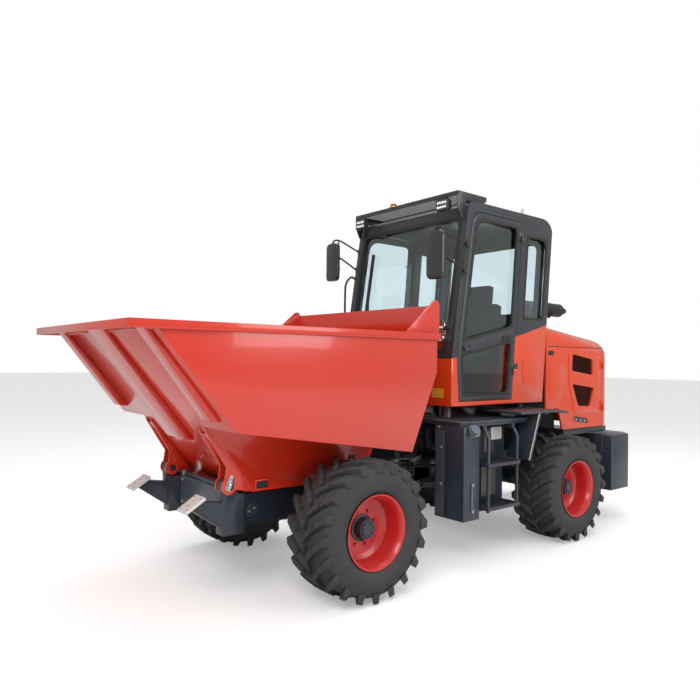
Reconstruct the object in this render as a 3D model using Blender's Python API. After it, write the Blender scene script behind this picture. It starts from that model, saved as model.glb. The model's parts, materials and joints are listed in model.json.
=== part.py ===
"""Articulated front-tip site dumper with a cab, as separate named pieces.

Metres, +Z up. The machine faces -Y and +X is its own left side. The origin is on the
ground, on the centre plane, half way along the overall length.
"""
import bmesh
import bpy
from math import atan2, cos, pi, radians, sin, tan
from mathutils import Matrix, Vector

# Fits between pieces
seat_gap = 0.0003          # between pieces that touch
swing_gap = 0.006          # between pieces that swing past each other
pin_play = 0.0008          # radial, where a pin turns in its hole

# Whole machine
overall_length = 5.50
wheelbase = 2.42
track = 1.62
pivot_y = 0.11             # centre pin of the articulated frame
tip_max = radians(82)

# Wheels
tyre_radius = 0.475
tyre_width = 0.40
rim_radius = 0.252         # over the flange
rim_width = 0.38
barrel_radius = 0.228
rim_wall = 0.012
wheel_sides = 28

# Skip: a wide upper box that steps in to a narrow hopper between the front wheels
skip_half_width = 0.905
rim_band_out = 0.02
rim_band_height = 0.05
skip_rim_z = 1.815
skip_rear_y = -0.445
skip_knee_z = 1.528
lip_depth = 0.11           # flat flange in front of the sloping front plate
hopper_half_width = 0.487
hopper_front_y = -1.74
hopper_rear_y = -0.79
hopper_bottom_z = 0.735
step_front_z = 1.182       # underside of the wide part, at the front plate
step_rear_z = 0.960        # and at the rear plate
skip_plate = 0.008
lip_wall = 0.010
rib_depth = 0.045
rib_root = 0.004           # how far a rib starts inside the front plate, before the plate is cut out
back_board_height = 0.21
gusset_depth = 0.34
gusset_height = 0.245

# Tipping hinge
tip_pin_y = -1.92
tip_pin_z = 0.790
tip_pin_radius = 0.022
ear_centre_x = 0.4375
ear_plate = 0.012
ear_inner_width = 0.075    # between an ear's two plates
ear_lobe = 0.055
ear_depth = 0.045          # of the ear's front edge off the front plate
pad_length = 0.15
pad_width = 0.12
pad_plate = 0.020
pad_reach = 0.249          # from the tipping pin to the pad's middle

# Front frame
front_frame_half_width = 0.40
frame_plate = 0.03
front_frame_top_z = 0.710
front_frame_bottom_z = 0.500
front_plate_y = -1.87
bracket_front_y = -1.95
bracket_rear_y = -1.80
bracket_bottom_z = 0.471

front_plate_top_z = 0.760

# Cylinders
eye_half_width = 0.032
eye_radius = 0.034
cylinder_pin_radius = 0.014
bore_spare = 0.015
steer_eye_x = 0.30
steer_pin_x = 0.345
steer_front_reach = 0.41   # from the centre pin forward to the rod's eye
steer_rear_reach = 0.51    # and back to the barrel's pin
steer_z = 0.575
steer_barrel_radius = 0.031
steer_rod_radius = 0.018
steer_barrel_length = 0.62
steer_rod_tail = 0.36
steer_inward = 0.185        # how far a steering rod slides in from rest

# Centre joint
yoke_top_z = 0.710
yoke_bottom_z = 0.440
yoke_plate = 0.025
yoke_radius = 0.085
centre_pin_radius = 0.030
yoke_front_y = -0.62
web_end_x = 0.12
web_end_reach = 0.23       # from the centre pin to the yoke's webs

# Rear frame
rear_frame_half_width = 0.30
rear_frame_top_z = 0.750
rear_frame_bottom_z = 0.450
rear_frame_front_y = 0.62

# Axles
axle_beam_radius = 0.065
axle_housing_radius = 0.100
axle_drum_radius = 0.12
axle_seat_z = 0.560
axle_seat_half_length = 0.09

# Deck, tanks, steps and fenders
deck_half_width = 0.90
deck_core_half_width = 0.60
deck_top_z = 1.140
deck_plate = 0.040
deck_front_y = -0.12
deck_step_y = 0.68
deck_beam_depth = 0.08
tank_inner_x = 0.60
tank_front_y = -0.13
tank_split_y = 0.06
tank_rear_y = 0.56
tank_shallow_x = 0.74
tank_bottom_z = 0.370
step_rail_x = 0.93
step_rail_radius = 0.014
step_rail_ys = (0.13, 0.50)
step_tread_zs = (0.455, 0.800)
step_tread_plate = 0.025
fender_top_z = 1.200
fender_outer_x = 1.00
fender_plate = 0.020
fender_front_y = 0.46
fender_rear_y = 1.15

# Cab
cab_half_width = 0.69
cab_floor_z = 1.245        # underside
cab_front_y = -0.045
cab_belt_front_z = 1.630
cab_belt_rear_z = 1.960
cab_belt_kink_y = 0.86
cab_belt_kink_z = 1.850
cab_top_z = 2.900
cab_rear_bottom_y = 1.21
screen_lean = 0.195        # how far the windscreen's top lies behind its foot
rear_lean = 0.150
pillar_lean = 0.135        # of the door's rear edge, over the height of the door
cab_wall = 0.040
frame_post = 0.050
roof_plate = 0.050
door_bottom_z = 1.285
door_top_z = 2.865
door_rear_bottom_y = 0.745
door_front_inset = 0.070
door_plate = 0.028
door_border = 0.048
glass_plate = 0.006

# Engine hood
hood_half_width = 0.68
hood_front_y = 1.290
hood_seam_y = 2.30
hood_rear_y = 2.44
hood_front_top_z = 1.967
hood_rear_top_z = 1.845
hood_shoulder = 0.14
hood_bottom_z = 0.9553
hood_split_z = 1.765
hood_wall = 0.020
hood_arch_z = 1.17

hood_arch_rear_y = 1.50
hood_hinge_zs = (1.12, 1.55)
silencer_z = 2.170
visor_top_z = 3.020
visor_side = 0.035         # between the cab's side and the visor's

# Counterweight
ballast_half_width = 0.80
ballast_front_y = 2.27
ballast_top_z = 0.870
ballast_bottom_z = 0.310
ballast_chamfer = 0.13

# Worked out from the sizes above
half_length = overall_length / 2
front_axle_y = pivot_y - wheelbase / 2
rear_axle_y = pivot_y + wheelbase / 2
wheel_x = track / 2
lip_y = -half_length + rim_band_out
slope_top_y = lip_y + lip_depth
front_slope = atan2(skip_rim_z - hopper_bottom_z, hopper_front_y - slope_top_y)
slope_forward = Vector((-cos(front_slope), sin(front_slope)))
slope_out = Vector((-sin(front_slope), -cos(front_slope)))
disc_inner_x = wheel_x + 0.01
bracket_top_z = tip_pin_z - ear_lobe - swing_gap
web_end_y = pivot_y - web_end_reach
tip_pin = Vector((tip_pin_y, tip_pin_z))
slope_pin_gap = (tip_pin - Vector((hopper_front_y, hopper_bottom_z))).dot(slope_out)
pad_face = slope_pin_gap - ear_depth - swing_gap
pad_along = Vector((cos(pi - front_slope + tip_max), sin(pi - front_slope + tip_max)))
pad_out = Vector((pad_along.y, -pad_along.x))
deck_core_y = (deck_front_y, cab_rear_bottom_y)
beam_bottom_z = deck_top_z - deck_plate - deck_beam_depth
world_place = {}


# ---------------------------------------------------------------- outlines
def slope_y(z):
    """Y of the skip's sloping front plate, outer face, at height z."""
    return hopper_front_y - (z - hopper_bottom_z) / tan(front_slope)


def back_y(z):
    """Y of the skip's rear plate, outer face, at height z."""
    share = (z - hopper_bottom_z) / (skip_knee_z - hopper_bottom_z)
    return hopper_rear_y + min(share, 1) * (skip_rear_y - hopper_rear_y)


def screen_y(z):
    """Y of the cab's front face at height z."""
    share = (z - cab_belt_front_z) / (cab_top_z - cab_belt_front_z)
    return cab_front_y + max(share, 0) * screen_lean


def cab_back_y(z):
    """Y of the cab's rear face at height z."""
    return cab_rear_bottom_y + rear_lean * (z - cab_floor_z) / (cab_top_z - cab_floor_z)


def door_rear_y(z):
    """Y of the door's rear edge at height z."""
    return door_rear_bottom_y + pillar_lean * (z - door_bottom_z) / (door_top_z - door_bottom_z)


def hood_top_z(y):
    """Height of the hood's top line at y."""
    share = (y - hood_front_y) / (hood_seam_y - hood_front_y)
    return hood_front_top_z + share * (hood_rear_top_z - hood_front_top_z)


def offset_outline(points, amounts):
    """Move each edge of a counter-clockwise outline inwards by its own amount."""
    count = len(points)
    lines = []
    for index in range(count):
        start = Vector(points[index])
        direction = (Vector(points[(index + 1) % count]) - start).normalized()
        inward = Vector((-direction.y, direction.x))
        lines.append((start + inward * amounts[index], direction))
    moved = []
    for index in range(count):
        point_a, along_a = lines[index - 1]
        point_b, along_b = lines[index]
        across = along_a.x * along_b.y - along_a.y * along_b.x
        gap = point_b - point_a
        reach = (gap.x * along_b.y - gap.y * along_b.x) / across
        moved.append(tuple(point_a + along_a * reach))
    return moved


def arc(centre, radius, start, end, steps):
    """Points on an arc, angles in radians."""
    return [(centre[0] + radius * cos(start + (end - start) * step / steps),
             centre[1] + radius * sin(start + (end - start) * step / steps))
            for step in range(steps + 1)]


# ---------------------------------------------------------------- solids
def object_from(bm, name="piece"):
    bmesh.ops.recalc_face_normals(bm, faces=bm.faces)
    mesh = bpy.data.meshes.new(name)
    bm.to_mesh(mesh)
    bm.free()
    piece = bpy.data.objects.new(name, mesh)
    bpy.context.scene.collection.objects.link(piece)
    return piece


def prism(outline, low, high, axis="X"):
    """Extrude an outline along X (points are Y, Z), Y (X, Z) or Z (X, Y)."""
    place = {"X": lambda a, b, d: (d, a, b), "Y": lambda a, b, d: (a, d, b), "Z": lambda a, b,
             d: (a, b, d)}[axis]
    bm = bmesh.new()
    verts = [bm.verts.new(place(a, b, low)) for a, b in outline]
    face = bm.faces.new(verts)
    extruded = bmesh.ops.extrude_face_region(bm, geom=[face])
    step = Vector(place(0, 0, high)) - Vector(place(0, 0, low))
    moved = [item for item in extruded["geom"] if isinstance(item, bmesh.types.BMVert)]
    bmesh.ops.translate(bm, verts=moved, vec=step)
    return object_from(bm)


def box(low, high):
    return prism([(low[1], low[2]), (high[1], low[2]), (high[1], high[2]), (low[1], high[2])], low[0],
                 high[0])


def rod(start, end, radius, sides=16):
    """A round bar between two points."""
    start = Vector(start)
    span = Vector(end) - start
    bm = bmesh.new()
    bmesh.ops.create_cone(bm, cap_ends=True, segments=sides, radius1=radius, radius2=radius,
                          depth=span.length)
    turn = Vector((0, 0, 1)).rotation_difference(span).to_matrix().to_4x4()
    bmesh.ops.transform(bm, matrix=Matrix.Translation(start + span / 2) @ turn, verts=bm.verts)
    return object_from(bm)


def tube(points, radius, sides=12, across=(0, 1, 0)):
    """A bent round bar through the points, whose bends lie square to the across direction."""
    points = [Vector(point) for point in points]
    bm = bmesh.new()
    rings = []
    for index, point in enumerate(points):
        before = (point - points[index - 1]).normalized() if index else Vector()
        after = (points[index + 1] - point).normalized() if index + 1 < len(points) else Vector()
        along = (before + after).normalized()
        wide = Vector(across).normalized()
        thick = along.cross(wide)
        stretch = 1 / along.dot(before if index else after)
        rings.append([bm.verts.new(point + wide * radius * cos(2 * pi * k / sides)
                                   + thick * radius * stretch
                                   * sin(2 * pi * k / sides)) for k in range(sides)])
    for ring_a, ring_b in zip(rings, rings[1:]):
        for k in range(sides):
            bm.faces.new((ring_a[k - 1], ring_a[k], ring_b[k], ring_b[k - 1]))
    bm.faces.new(rings[0])
    bm.faces.new(rings[-1])
    return object_from(bm)


def turned(profile, centre, sides, closed):
    """Turn a profile of (x, radius) about the X axis through centre."""
    bm = bmesh.new()
    rings = []
    for x, radius in profile:
        if radius < 1e-6:
            rings.append([bm.verts.new((centre[0] + x, centre[1], centre[2]))])
            continue
        rings.append([bm.verts.new((centre[0] + x, centre[1] + radius * cos(2 * pi * k / sides),
                                    centre[2] + radius * sin(2 * pi * k / sides))) for k in range(sides)])
    pairs = list(zip(rings, rings[1:]))
    if closed:
        pairs.append((rings[-1], rings[0]))
    for ring_a, ring_b in pairs:
        for k in range(sides):
            corners = [ring_a[k % len(ring_a)], ring_a[(k + 1) % len(ring_a)],
                       ring_b[(k + 1) % len(ring_b)], ring_b[k % len(ring_b)]]
            corners = list(dict.fromkeys(corners))
            bm.faces.new(corners)
    return object_from(bm)


def loft(sections):
    """Skin closed sections with the same number of points, and cap both ends."""
    bm = bmesh.new()
    rings = [[bm.verts.new(point) for point in section] for section in sections]
    for ring_a, ring_b in zip(rings, rings[1:]):
        for k in range(len(ring_a)):
            bm.faces.new((ring_a[k - 1], ring_a[k], ring_b[k], ring_b[k - 1]))
    bm.faces.new(rings[0])
    bm.faces.new(rings[-1])
    return object_from(bm)


def combine(base, tools, operation):
    """Boolean the tools into the base, and remove them."""
    for tool in tools:
        modifier = base.modifiers.new(operation.lower(), "BOOLEAN")
        modifier.operation = operation
        modifier.object = tool
    graph = bpy.context.evaluated_depsgraph_get()
    mesh = bpy.data.meshes.new_from_object(base.evaluated_get(graph))
    base.modifiers.clear()
    base.data = mesh
    for tool in tools:
        bpy.data.objects.remove(tool)
    return base


def join(base, *tools):
    return combine(base, tools, "UNION")


def cut(base, *tools):
    return combine(base, tools, "DIFFERENCE")


def keep(base, *tools):
    return combine(base, tools, "INTERSECT")


def clone(piece):
    copy = bpy.data.objects.new(piece.name, piece.data.copy())
    bpy.context.scene.collection.objects.link(copy)
    return copy


def mirrored(low_x, high_x, side):
    """An X range on the left side (side 1) or the right side (side -1)."""
    return (low_x, high_x) if side > 0 else (-high_x, -low_x)


# ---------------------------------------------------------------- finishing
paints = {
    "skip_red": ((0.80, 0.035, 0.012), 0.28, 0.0), "body_orange": ((0.82, 0.075, 0.008), 0.28, 0.0),
    "chassis_navy": ((0.012, 0.022, 0.045), 0.42, 0.0), "cab_grey": ((0.035, 0.042, 0.052), 0.45, 0.0),
    "rim_red": ((0.62, 0.008, 0.020), 0.32, 0.0), "tyre_rubber": ((0.020, 0.021, 0.023), 0.80, 0.0),
    "glass": ((0.55, 0.68, 0.70), 0.05, 0.0), "steel": ((0.55, 0.56, 0.58), 0.25, 1.0),
    "engine_grey": ((0.08, 0.085, 0.09), 0.55, 0.6), "black_plastic": ((0.015, 0.015, 0.017), 0.50, 0.0),
    "seat_black": ((0.030, 0.030, 0.032), 0.85, 0.0), "amber": ((0.90, 0.32, 0.01), 0.20, 0.0),
}


def paint(name):
    material = bpy.data.materials.get(name)
    if material is None:
        colour, roughness, metallic = paints[name]
        material = bpy.data.materials.new(name)
        material.use_nodes = True
        shader = material.node_tree.nodes["Principled BSDF"]
        shader.inputs["Base Color"].default_value = (*colour, 1)
        shader.inputs["Roughness"].default_value = roughness
        shader.inputs["Metallic"].default_value = metallic
        material.diffuse_color = (*colour, 1)
    return material


def body(name, location, parent=None):
    """An empty on a joint's axis, which carries the pieces of one moving body."""
    empty = bpy.data.objects.new(name, None)
    bpy.context.scene.collection.objects.link(empty)
    empty.parent = parent
    empty.location = Vector(location) - (world_place[parent.name] if parent else Vector())
    world_place[name] = Vector(location)
    return empty


def finish(name, piece, colour, carrier):
    """Name a piece, paint it, and hang it on its body's empty with the origin there."""
    piece.name = name
    piece.data.name = name
    piece.data.materials.clear()
    piece.data.materials.append(paint(colour))
    piece.data.transform(Matrix.Translation(-world_place[carrier.name]))
    piece.data.shade_smooth()
    piece.data.set_sharp_from_angle(angle=radians(32))
    piece.parent = carrier
    return piece


# ---------------------------------------------------------------- wheels and axles
def make_tyre(centre, side):
    half = tyre_width / 2
    bead = rim_width / 2 - 0.022
    right_half = [(bead, barrel_radius + seat_gap), (half - 0.012, rim_radius + 0.035),
                  (half, (rim_radius + tyre_radius) / 2), (half - 0.014, tyre_radius - 0.030),
                  (half - 0.060, tyre_radius)]
    profile = right_half + [(-x, radius) for x, radius in reversed(right_half)]
    return turned([(x * side, radius) for x, radius in profile], centre, wheel_sides, True)


def make_rim(centre, side):
    half = rim_width / 2
    inner = barrel_radius - rim_wall
    seat = rim_width / 2 - 0.021
    profile = [(0.01, 0), (0.01, inner), (-half, inner), (-half, rim_radius),
               (-half + rim_wall, rim_radius),
               (-seat, barrel_radius), (seat, barrel_radius), (half - rim_wall, rim_radius),
               (half, rim_radius),
               (half, inner), (0.022, inner), (0.022, 0.095), (0.105, 0.070), (0.105, 0)]
    return turned([(x * side, radius) for x, radius in profile], centre, wheel_sides, False)


def make_axle(y):
    """Beam, differential housing, and a drum that each wheel's disc seats against."""
    z = tyre_radius
    end = disc_inner_x - seat_gap
    beam = rod((-end + 0.02, y, z), (end - 0.02, y, z), axle_beam_radius, 20)
    housing = rod((0, y - 0.13, z), (0, y + 0.15, z), axle_housing_radius, 24)
    pieces = [housing]
    for side in (1, -1):
        pieces.append(rod((side * (end - 0.18), y, z), (side * end, y, z), axle_drum_radius, 24))
        low, high = mirrored(rear_frame_half_width - frame_plate, front_frame_half_width, side)
        pieces.append(box((low, y - axle_seat_half_length + 0.01, z),
                          (high, y + axle_seat_half_length - 0.01, axle_seat_z - seat_gap)))
    return join(beam, *pieces)


# ---------------------------------------------------------------- skip
def skip_outline(top_z):
    """Side view of the skip, counter-clockwise seen from +X: Y to the right, Z up."""
    return [(slope_y(top_z), top_z), (hopper_front_y, hopper_bottom_z), (hopper_rear_y, hopper_bottom_z),
            (skip_rear_y, skip_knee_z), (skip_rear_y, top_z)]


def wide_outline(top_z):
    return [(slope_y(top_z), top_z), (slope_y(step_front_z), step_front_z),
            (back_y(step_rear_z), step_rear_z),
            (skip_rear_y, skip_knee_z), (skip_rear_y, top_z)]


def skip_solid(inset, top_z):
    """The skip's outer form, moved inwards by inset."""
    amounts = [inset] * 4 + [0]
    wide = prism(offset_outline(wide_outline(top_z), amounts), inset - skip_half_width,
                 skip_half_width - inset)
    narrow = prism(offset_outline(skip_outline(top_z), amounts), inset - hopper_half_width,
                   hopper_half_width - inset)
    return join(wide, narrow)


def make_skip_shell():
    return cut(skip_solid(0, skip_rim_z), skip_solid(skip_plate, skip_rim_z + 0.05))


def on_slope(along, out):
    """A point of the side view: distance up the front plate from the hopper's corner, and off it."""
    corner = Vector((hopper_front_y, hopper_bottom_z))
    return tuple(corner + slope_forward * along + slope_out * out)


def slope_reach(z):
    return (z - hopper_bottom_z) / sin(front_slope)


def make_skip_rim():
    """Rim band all round, the lip in front of the front plate, and the ribs under it."""
    outer_x = skip_half_width + rim_band_out
    low_z = skip_rim_z - rim_band_height
    ring = box((-outer_x, -half_length, low_z), (outer_x, skip_rear_y + rim_band_out, skip_rim_z))
    under_lip = box((lip_wall - outer_x, lip_wall - half_length, low_z - 0.01),
                    (outer_x - lip_wall, slope_y(low_z) - 0.02, skip_rim_z - lip_wall))
    ribs = []
    # rib middle x, rib width, height of the rib's lower end
    for middle, width, end_z in ((-0.745, 0.12, 1.24), (0.0, 0.30, 1.06), (0.745, 0.12, 1.24)):
        top, low = slope_reach(skip_rim_z - lip_wall / 2), slope_reach(end_z)
        outline = [on_slope(low, -rib_root), on_slope(low, seat_gap), on_slope(low + rib_depth, rib_depth),
                   (on_slope(top, rib_depth)[0], skip_rim_z - lip_wall / 2), on_slope(top, -rib_root)]
        ribs.append(prism(outline, middle - width / 2, middle + width / 2))
    return cut(join(cut(ring, under_lip), *ribs), skip_solid(-seat_gap, skip_rim_z + 0.1))


def make_back_board():
    """Raised board on the rear rim, with a triangular gusset down each side."""
    face_y = skip_rear_y + rim_band_out
    low_z = skip_rim_z + seat_gap
    top_z = skip_rim_z + back_board_height
    peak_z = skip_rim_z + gusset_height
    board = box((-skip_half_width, face_y - 0.02, low_z), (skip_half_width, face_y, top_z))
    gusset = [(face_y - gusset_depth, low_z), (face_y, low_z), (face_y, peak_z - 0.03),
              (face_y - 0.03, peak_z),
              (face_y - 0.07, peak_z - 0.01)]
    sides = []
    for side in (1, -1):
        low, high = mirrored(skip_half_width - 0.012, skip_half_width, side)
        sides.append(prism(gusset, low, high))
    return join(board, *sides)


def make_ear(side):
    """Two hinge plates that straddle the frame's bracket, tied by a flange on the front plate."""
    foot = on_slope(seat_gap / sin(front_slope), seat_gap)
    corner = on_slope(slope_reach(0.94), ear_depth)
    neck = (tip_pin_y - 0.032, tip_pin_z + 0.045)
    lobe = arc((tip_pin_y, tip_pin_z), ear_lobe, radians(145), radians(330), 12)
    outline = [on_slope(slope_reach(1.17), seat_gap), on_slope(slope_reach(1.15), 0.012), corner,
               neck] + lobe + [foot]
    inner = ear_inner_width / 2
    plates = []
    for direction in (1, -1):
        edges = sorted((direction * inner, direction * (inner + ear_plate)))
        low, high = side * ear_centre_x + edges[0], side * ear_centre_x + edges[1]
        plates.append(prism(outline, low, high))
    tie_low, tie_high = slope_reach(0.96), slope_reach(1.14)
    tie = prism([on_slope(tie_low, 0.002), on_slope(tie_high, 0.002), on_slope(tie_high, 0.010),
                 on_slope(tie_low, 0.010)], side * ear_centre_x - inner - 0.004,
                 side * ear_centre_x + inner + 0.004)
    ear = join(plates[0], plates[1], tie)
    hole = rod((side * ear_centre_x - 0.2, tip_pin_y, tip_pin_z),
               (side * ear_centre_x + 0.2, tip_pin_y, tip_pin_z),
               tip_pin_radius + pin_play, 24)
    return cut(ear, hole)


# ---------------------------------------------------------------- tipping cylinder
tip_barrel_pin = Vector((0, -0.66, 0.625))
tip_rod_eye = Vector((0, -1.62, 0.630))
tip_barrel_radius = 0.042
tip_rod_radius = 0.026
tip_barrel_length = 0.60
tip_rod_tail = 0.11        # from the barrel's pin to the rod's inner end, at rest


def eye_direction(along, upright):
    """The pin's direction in a cylinder's eye: level and square to it, or upright."""
    return Vector((0, 0, 1)) if upright else along.cross(Vector((0, 0, 1))).normalized()


def make_barrel(pin, eye, length, radius, bar_radius, bore_start, upright):
    """A barrel: an eye on its pin, then a tube towards the rod's eye with an open bore."""
    along = (eye - pin).normalized()
    across = eye_direction(along, upright)
    half = eye_half_width
    tube = rod(pin + along * radius * 1.2, pin + along * length, radius, 20)
    knuckle = rod(pin - across * half, pin + across * half, eye_radius, 20)
    neck = rod(pin + along * 0.02, pin + along * radius * 1.5, half * 0.9, 12)
    bore = rod(pin + along * (bore_start - bore_spare), pin + along * (length + 0.1), bar_radius + pin_play,
               20)
    hole = rod(pin - across, pin + across, cylinder_pin_radius + pin_play, 20)
    return cut(join(tube, neck, knuckle), bore, hole)


def make_bar(pin, eye, bar_radius, tail, upright):
    """A cylinder's rod, from its inner end in the barrel to its eye."""
    along = (eye - pin).normalized()
    across = eye_direction(along, upright)
    bar = rod(pin + along * tail, eye - along * eye_radius * 0.5, bar_radius, 20)
    knuckle = rod(eye - across * eye_half_width, eye + across * eye_half_width, eye_radius, 20)
    return join(bar, knuckle)


# ---------------------------------------------------------------- front frame
def outline_box(outline, half_width, plate, side):
    """A vertical plate of a side-view outline, its outer face at half_width."""
    low, high = mirrored(half_width - plate, half_width, side)
    return prism(outline, low, high)


def make_front_frame():
    half = front_frame_half_width
    seat_front, seat_rear = front_axle_y - axle_seat_half_length, front_axle_y + axle_seat_half_length
    side_outline = [(front_plate_y, front_frame_bottom_z), (seat_front, front_frame_bottom_z),
                    (seat_front, axle_seat_z), (seat_rear, axle_seat_z), (seat_rear, front_frame_bottom_z),
                    (yoke_front_y, front_frame_bottom_z), (yoke_front_y, front_frame_top_z),
                    (front_plate_y, front_frame_top_z)]
    pad_middle = Vector((tip_pin_y, tip_pin_z)) + pad_along * pad_reach + pad_out * pad_face
    pad_outline = [tuple(pad_middle + pad_along * a * pad_length / 2 - pad_out * d * pad_plate)
                   for a, d in ((1, 1), (-1, 1), (-1, 0), (1, 0))]
    pad_back = pad_middle - pad_out * pad_plate * 0.6
    arm_outline = [tuple(pad_back - pad_along * 0.035), tuple(pad_back + pad_along * 0.035),
                   (tip_pin_y + 0.03, bracket_bottom_z), (bracket_rear_y - 0.02, bracket_bottom_z),
                   (bracket_rear_y - 0.02, pad_back.y - 0.01), (bracket_front_y, pad_back.y - 0.01)]
    lobe = arc((tip_pin_y, tip_pin_z), ear_lobe - 0.008, radians(-20), radians(190), 12)
    bracket_outline = [(bracket_front_y - 0.01, bracket_top_z - 0.05),
                       (bracket_rear_y, bracket_top_z - 0.05)] + lobe
    pieces = []
    for side in (1, -1):
        if side < 0:
            pieces.append(outline_box(side_outline, half, frame_plate, side))
        bracket_half = ear_inner_width / 2 - swing_gap
        centre = side * ear_centre_x
        pieces.append(prism(bracket_outline, centre - bracket_half, centre + bracket_half))
        pieces.append(prism(arm_outline, centre - bracket_half, centre + bracket_half))
        pieces.append(prism(pad_outline, centre - pad_width / 2, centre + pad_width / 2))
        low, high = mirrored(half - frame_plate, ear_centre_x + bracket_half, side)
        pieces.append(box((low, bracket_front_y, bracket_bottom_z), (high, bracket_rear_y, bracket_top_z)))
        pin_half = ear_inner_width / 2 + ear_plate + 0.008
        pieces.append(rod((centre - pin_half, tip_pin_y, tip_pin_z),
                          (centre + pin_half, tip_pin_y, tip_pin_z),
                          tip_pin_radius, 24))
    inner = half - frame_plate / 2
    pieces.append(box((-inner, front_plate_y, front_frame_bottom_z),
                      (inner, front_plate_y + 0.02, front_plate_top_z)))
    pieces.append(rod((-inner, front_plate_y + 0.01, front_plate_top_z),
                      (inner, front_plate_y + 0.01, front_plate_top_z),
                      0.018, 12))
    pieces.append(box((-inner, front_plate_y, front_frame_bottom_z),
                      (inner, seat_front - 0.12, front_frame_bottom_z + 0.015)))
    cross_y = tip_barrel_pin.y + 0.08
    pieces.append(box((-inner, cross_y, yoke_bottom_z), (inner, cross_y + 0.03, yoke_top_z)))
    for side in (1, -1):
        low, high = mirrored(eye_half_width + 0.001, eye_half_width + 0.021, side)
        pieces.append(prism([(cross_y + 0.01, tip_barrel_pin.z - 0.06),
                             (cross_y + 0.01, tip_barrel_pin.z + 0.06)]
                            + arc((tip_barrel_pin.y, tip_barrel_pin.z), 0.034, radians(90), radians(270),
                                  8), low, high))
    pieces.append(rod((-eye_half_width - 0.03, tip_barrel_pin.y, tip_barrel_pin.z),
                      (eye_half_width + 0.03, tip_barrel_pin.y, tip_barrel_pin.z), cylinder_pin_radius, 20))
    yoke_outline = ([(half - 0.01, yoke_front_y - 0.02), (half - 0.01, yoke_front_y + 0.04)]
                    + arc((0, pivot_y), yoke_radius, radians(-20), radians(200), 14)
                    + [(0.01 - half, yoke_front_y + 0.04), (0.01 - half, yoke_front_y - 0.02)])
    for low_z in (yoke_bottom_z, yoke_top_z - yoke_plate):
        pieces.append(prism(yoke_outline, low_z, low_z + yoke_plate, "Z"))
    for side in (1, -1):
        web = [(side * (half - 0.012), yoke_front_y - 0.02), (side * (half - 0.012), yoke_front_y + 0.035),
               (side * web_end_x, web_end_y), (side * (web_end_x - 0.028), web_end_y),
               (side * (half - 0.040), yoke_front_y + 0.02), (side * (half - 0.040), yoke_front_y - 0.02)]
        pieces.append(prism(web, yoke_bottom_z + 0.001, yoke_top_z - 0.001, "Z"))
        pieces.append(steering_lugs(front_steer_eye(side), side))
    frame = join(outline_box(side_outline, half, frame_plate, 1), *pieces)
    return cut(frame, rod((0, pivot_y, 0), (0, pivot_y, 1), centre_pin_radius + pin_play, 24))


# ---------------------------------------------------------------- steering cylinders
def front_steer_eye(side):
    return Vector((side * steer_eye_x, pivot_y - steer_front_reach, steer_z))


def rear_steer_pin(side):
    return Vector((side * steer_pin_x, pivot_y + steer_rear_reach, steer_z))


def steering_lugs(point, side):
    """A pair of level plates above and below a steering cylinder's eye, joined to the frame inboard."""
    pieces = []
    for direction in (1, -1):
        low, high = sorted((point.z + direction * (eye_half_width + 0.001),
                            point.z + direction * (eye_half_width + 0.016)))
        outline = ([(side * (abs(point.x) - 0.10), point.y - 0.05),
                    (side * (abs(point.x) - 0.10), point.y + 0.05)]
                   + [(side * x, point.y + y) for x,
                      y in arc((abs(point.x), 0), 0.034, radians(90), radians(-90), 8)])
        pieces.append(prism(outline, low, high, "Z"))
    return join(pieces[0], box_between_lugs(point, side), pieces[1])


def box_between_lugs(point, side):
    low, high = mirrored(abs(point.x) - 0.10, abs(point.x) - 0.06, side)
    return box((low, point.y - 0.05, point.z - eye_half_width - 0.01),
               (high, point.y + 0.05, point.z + eye_half_width + 0.01))


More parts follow.
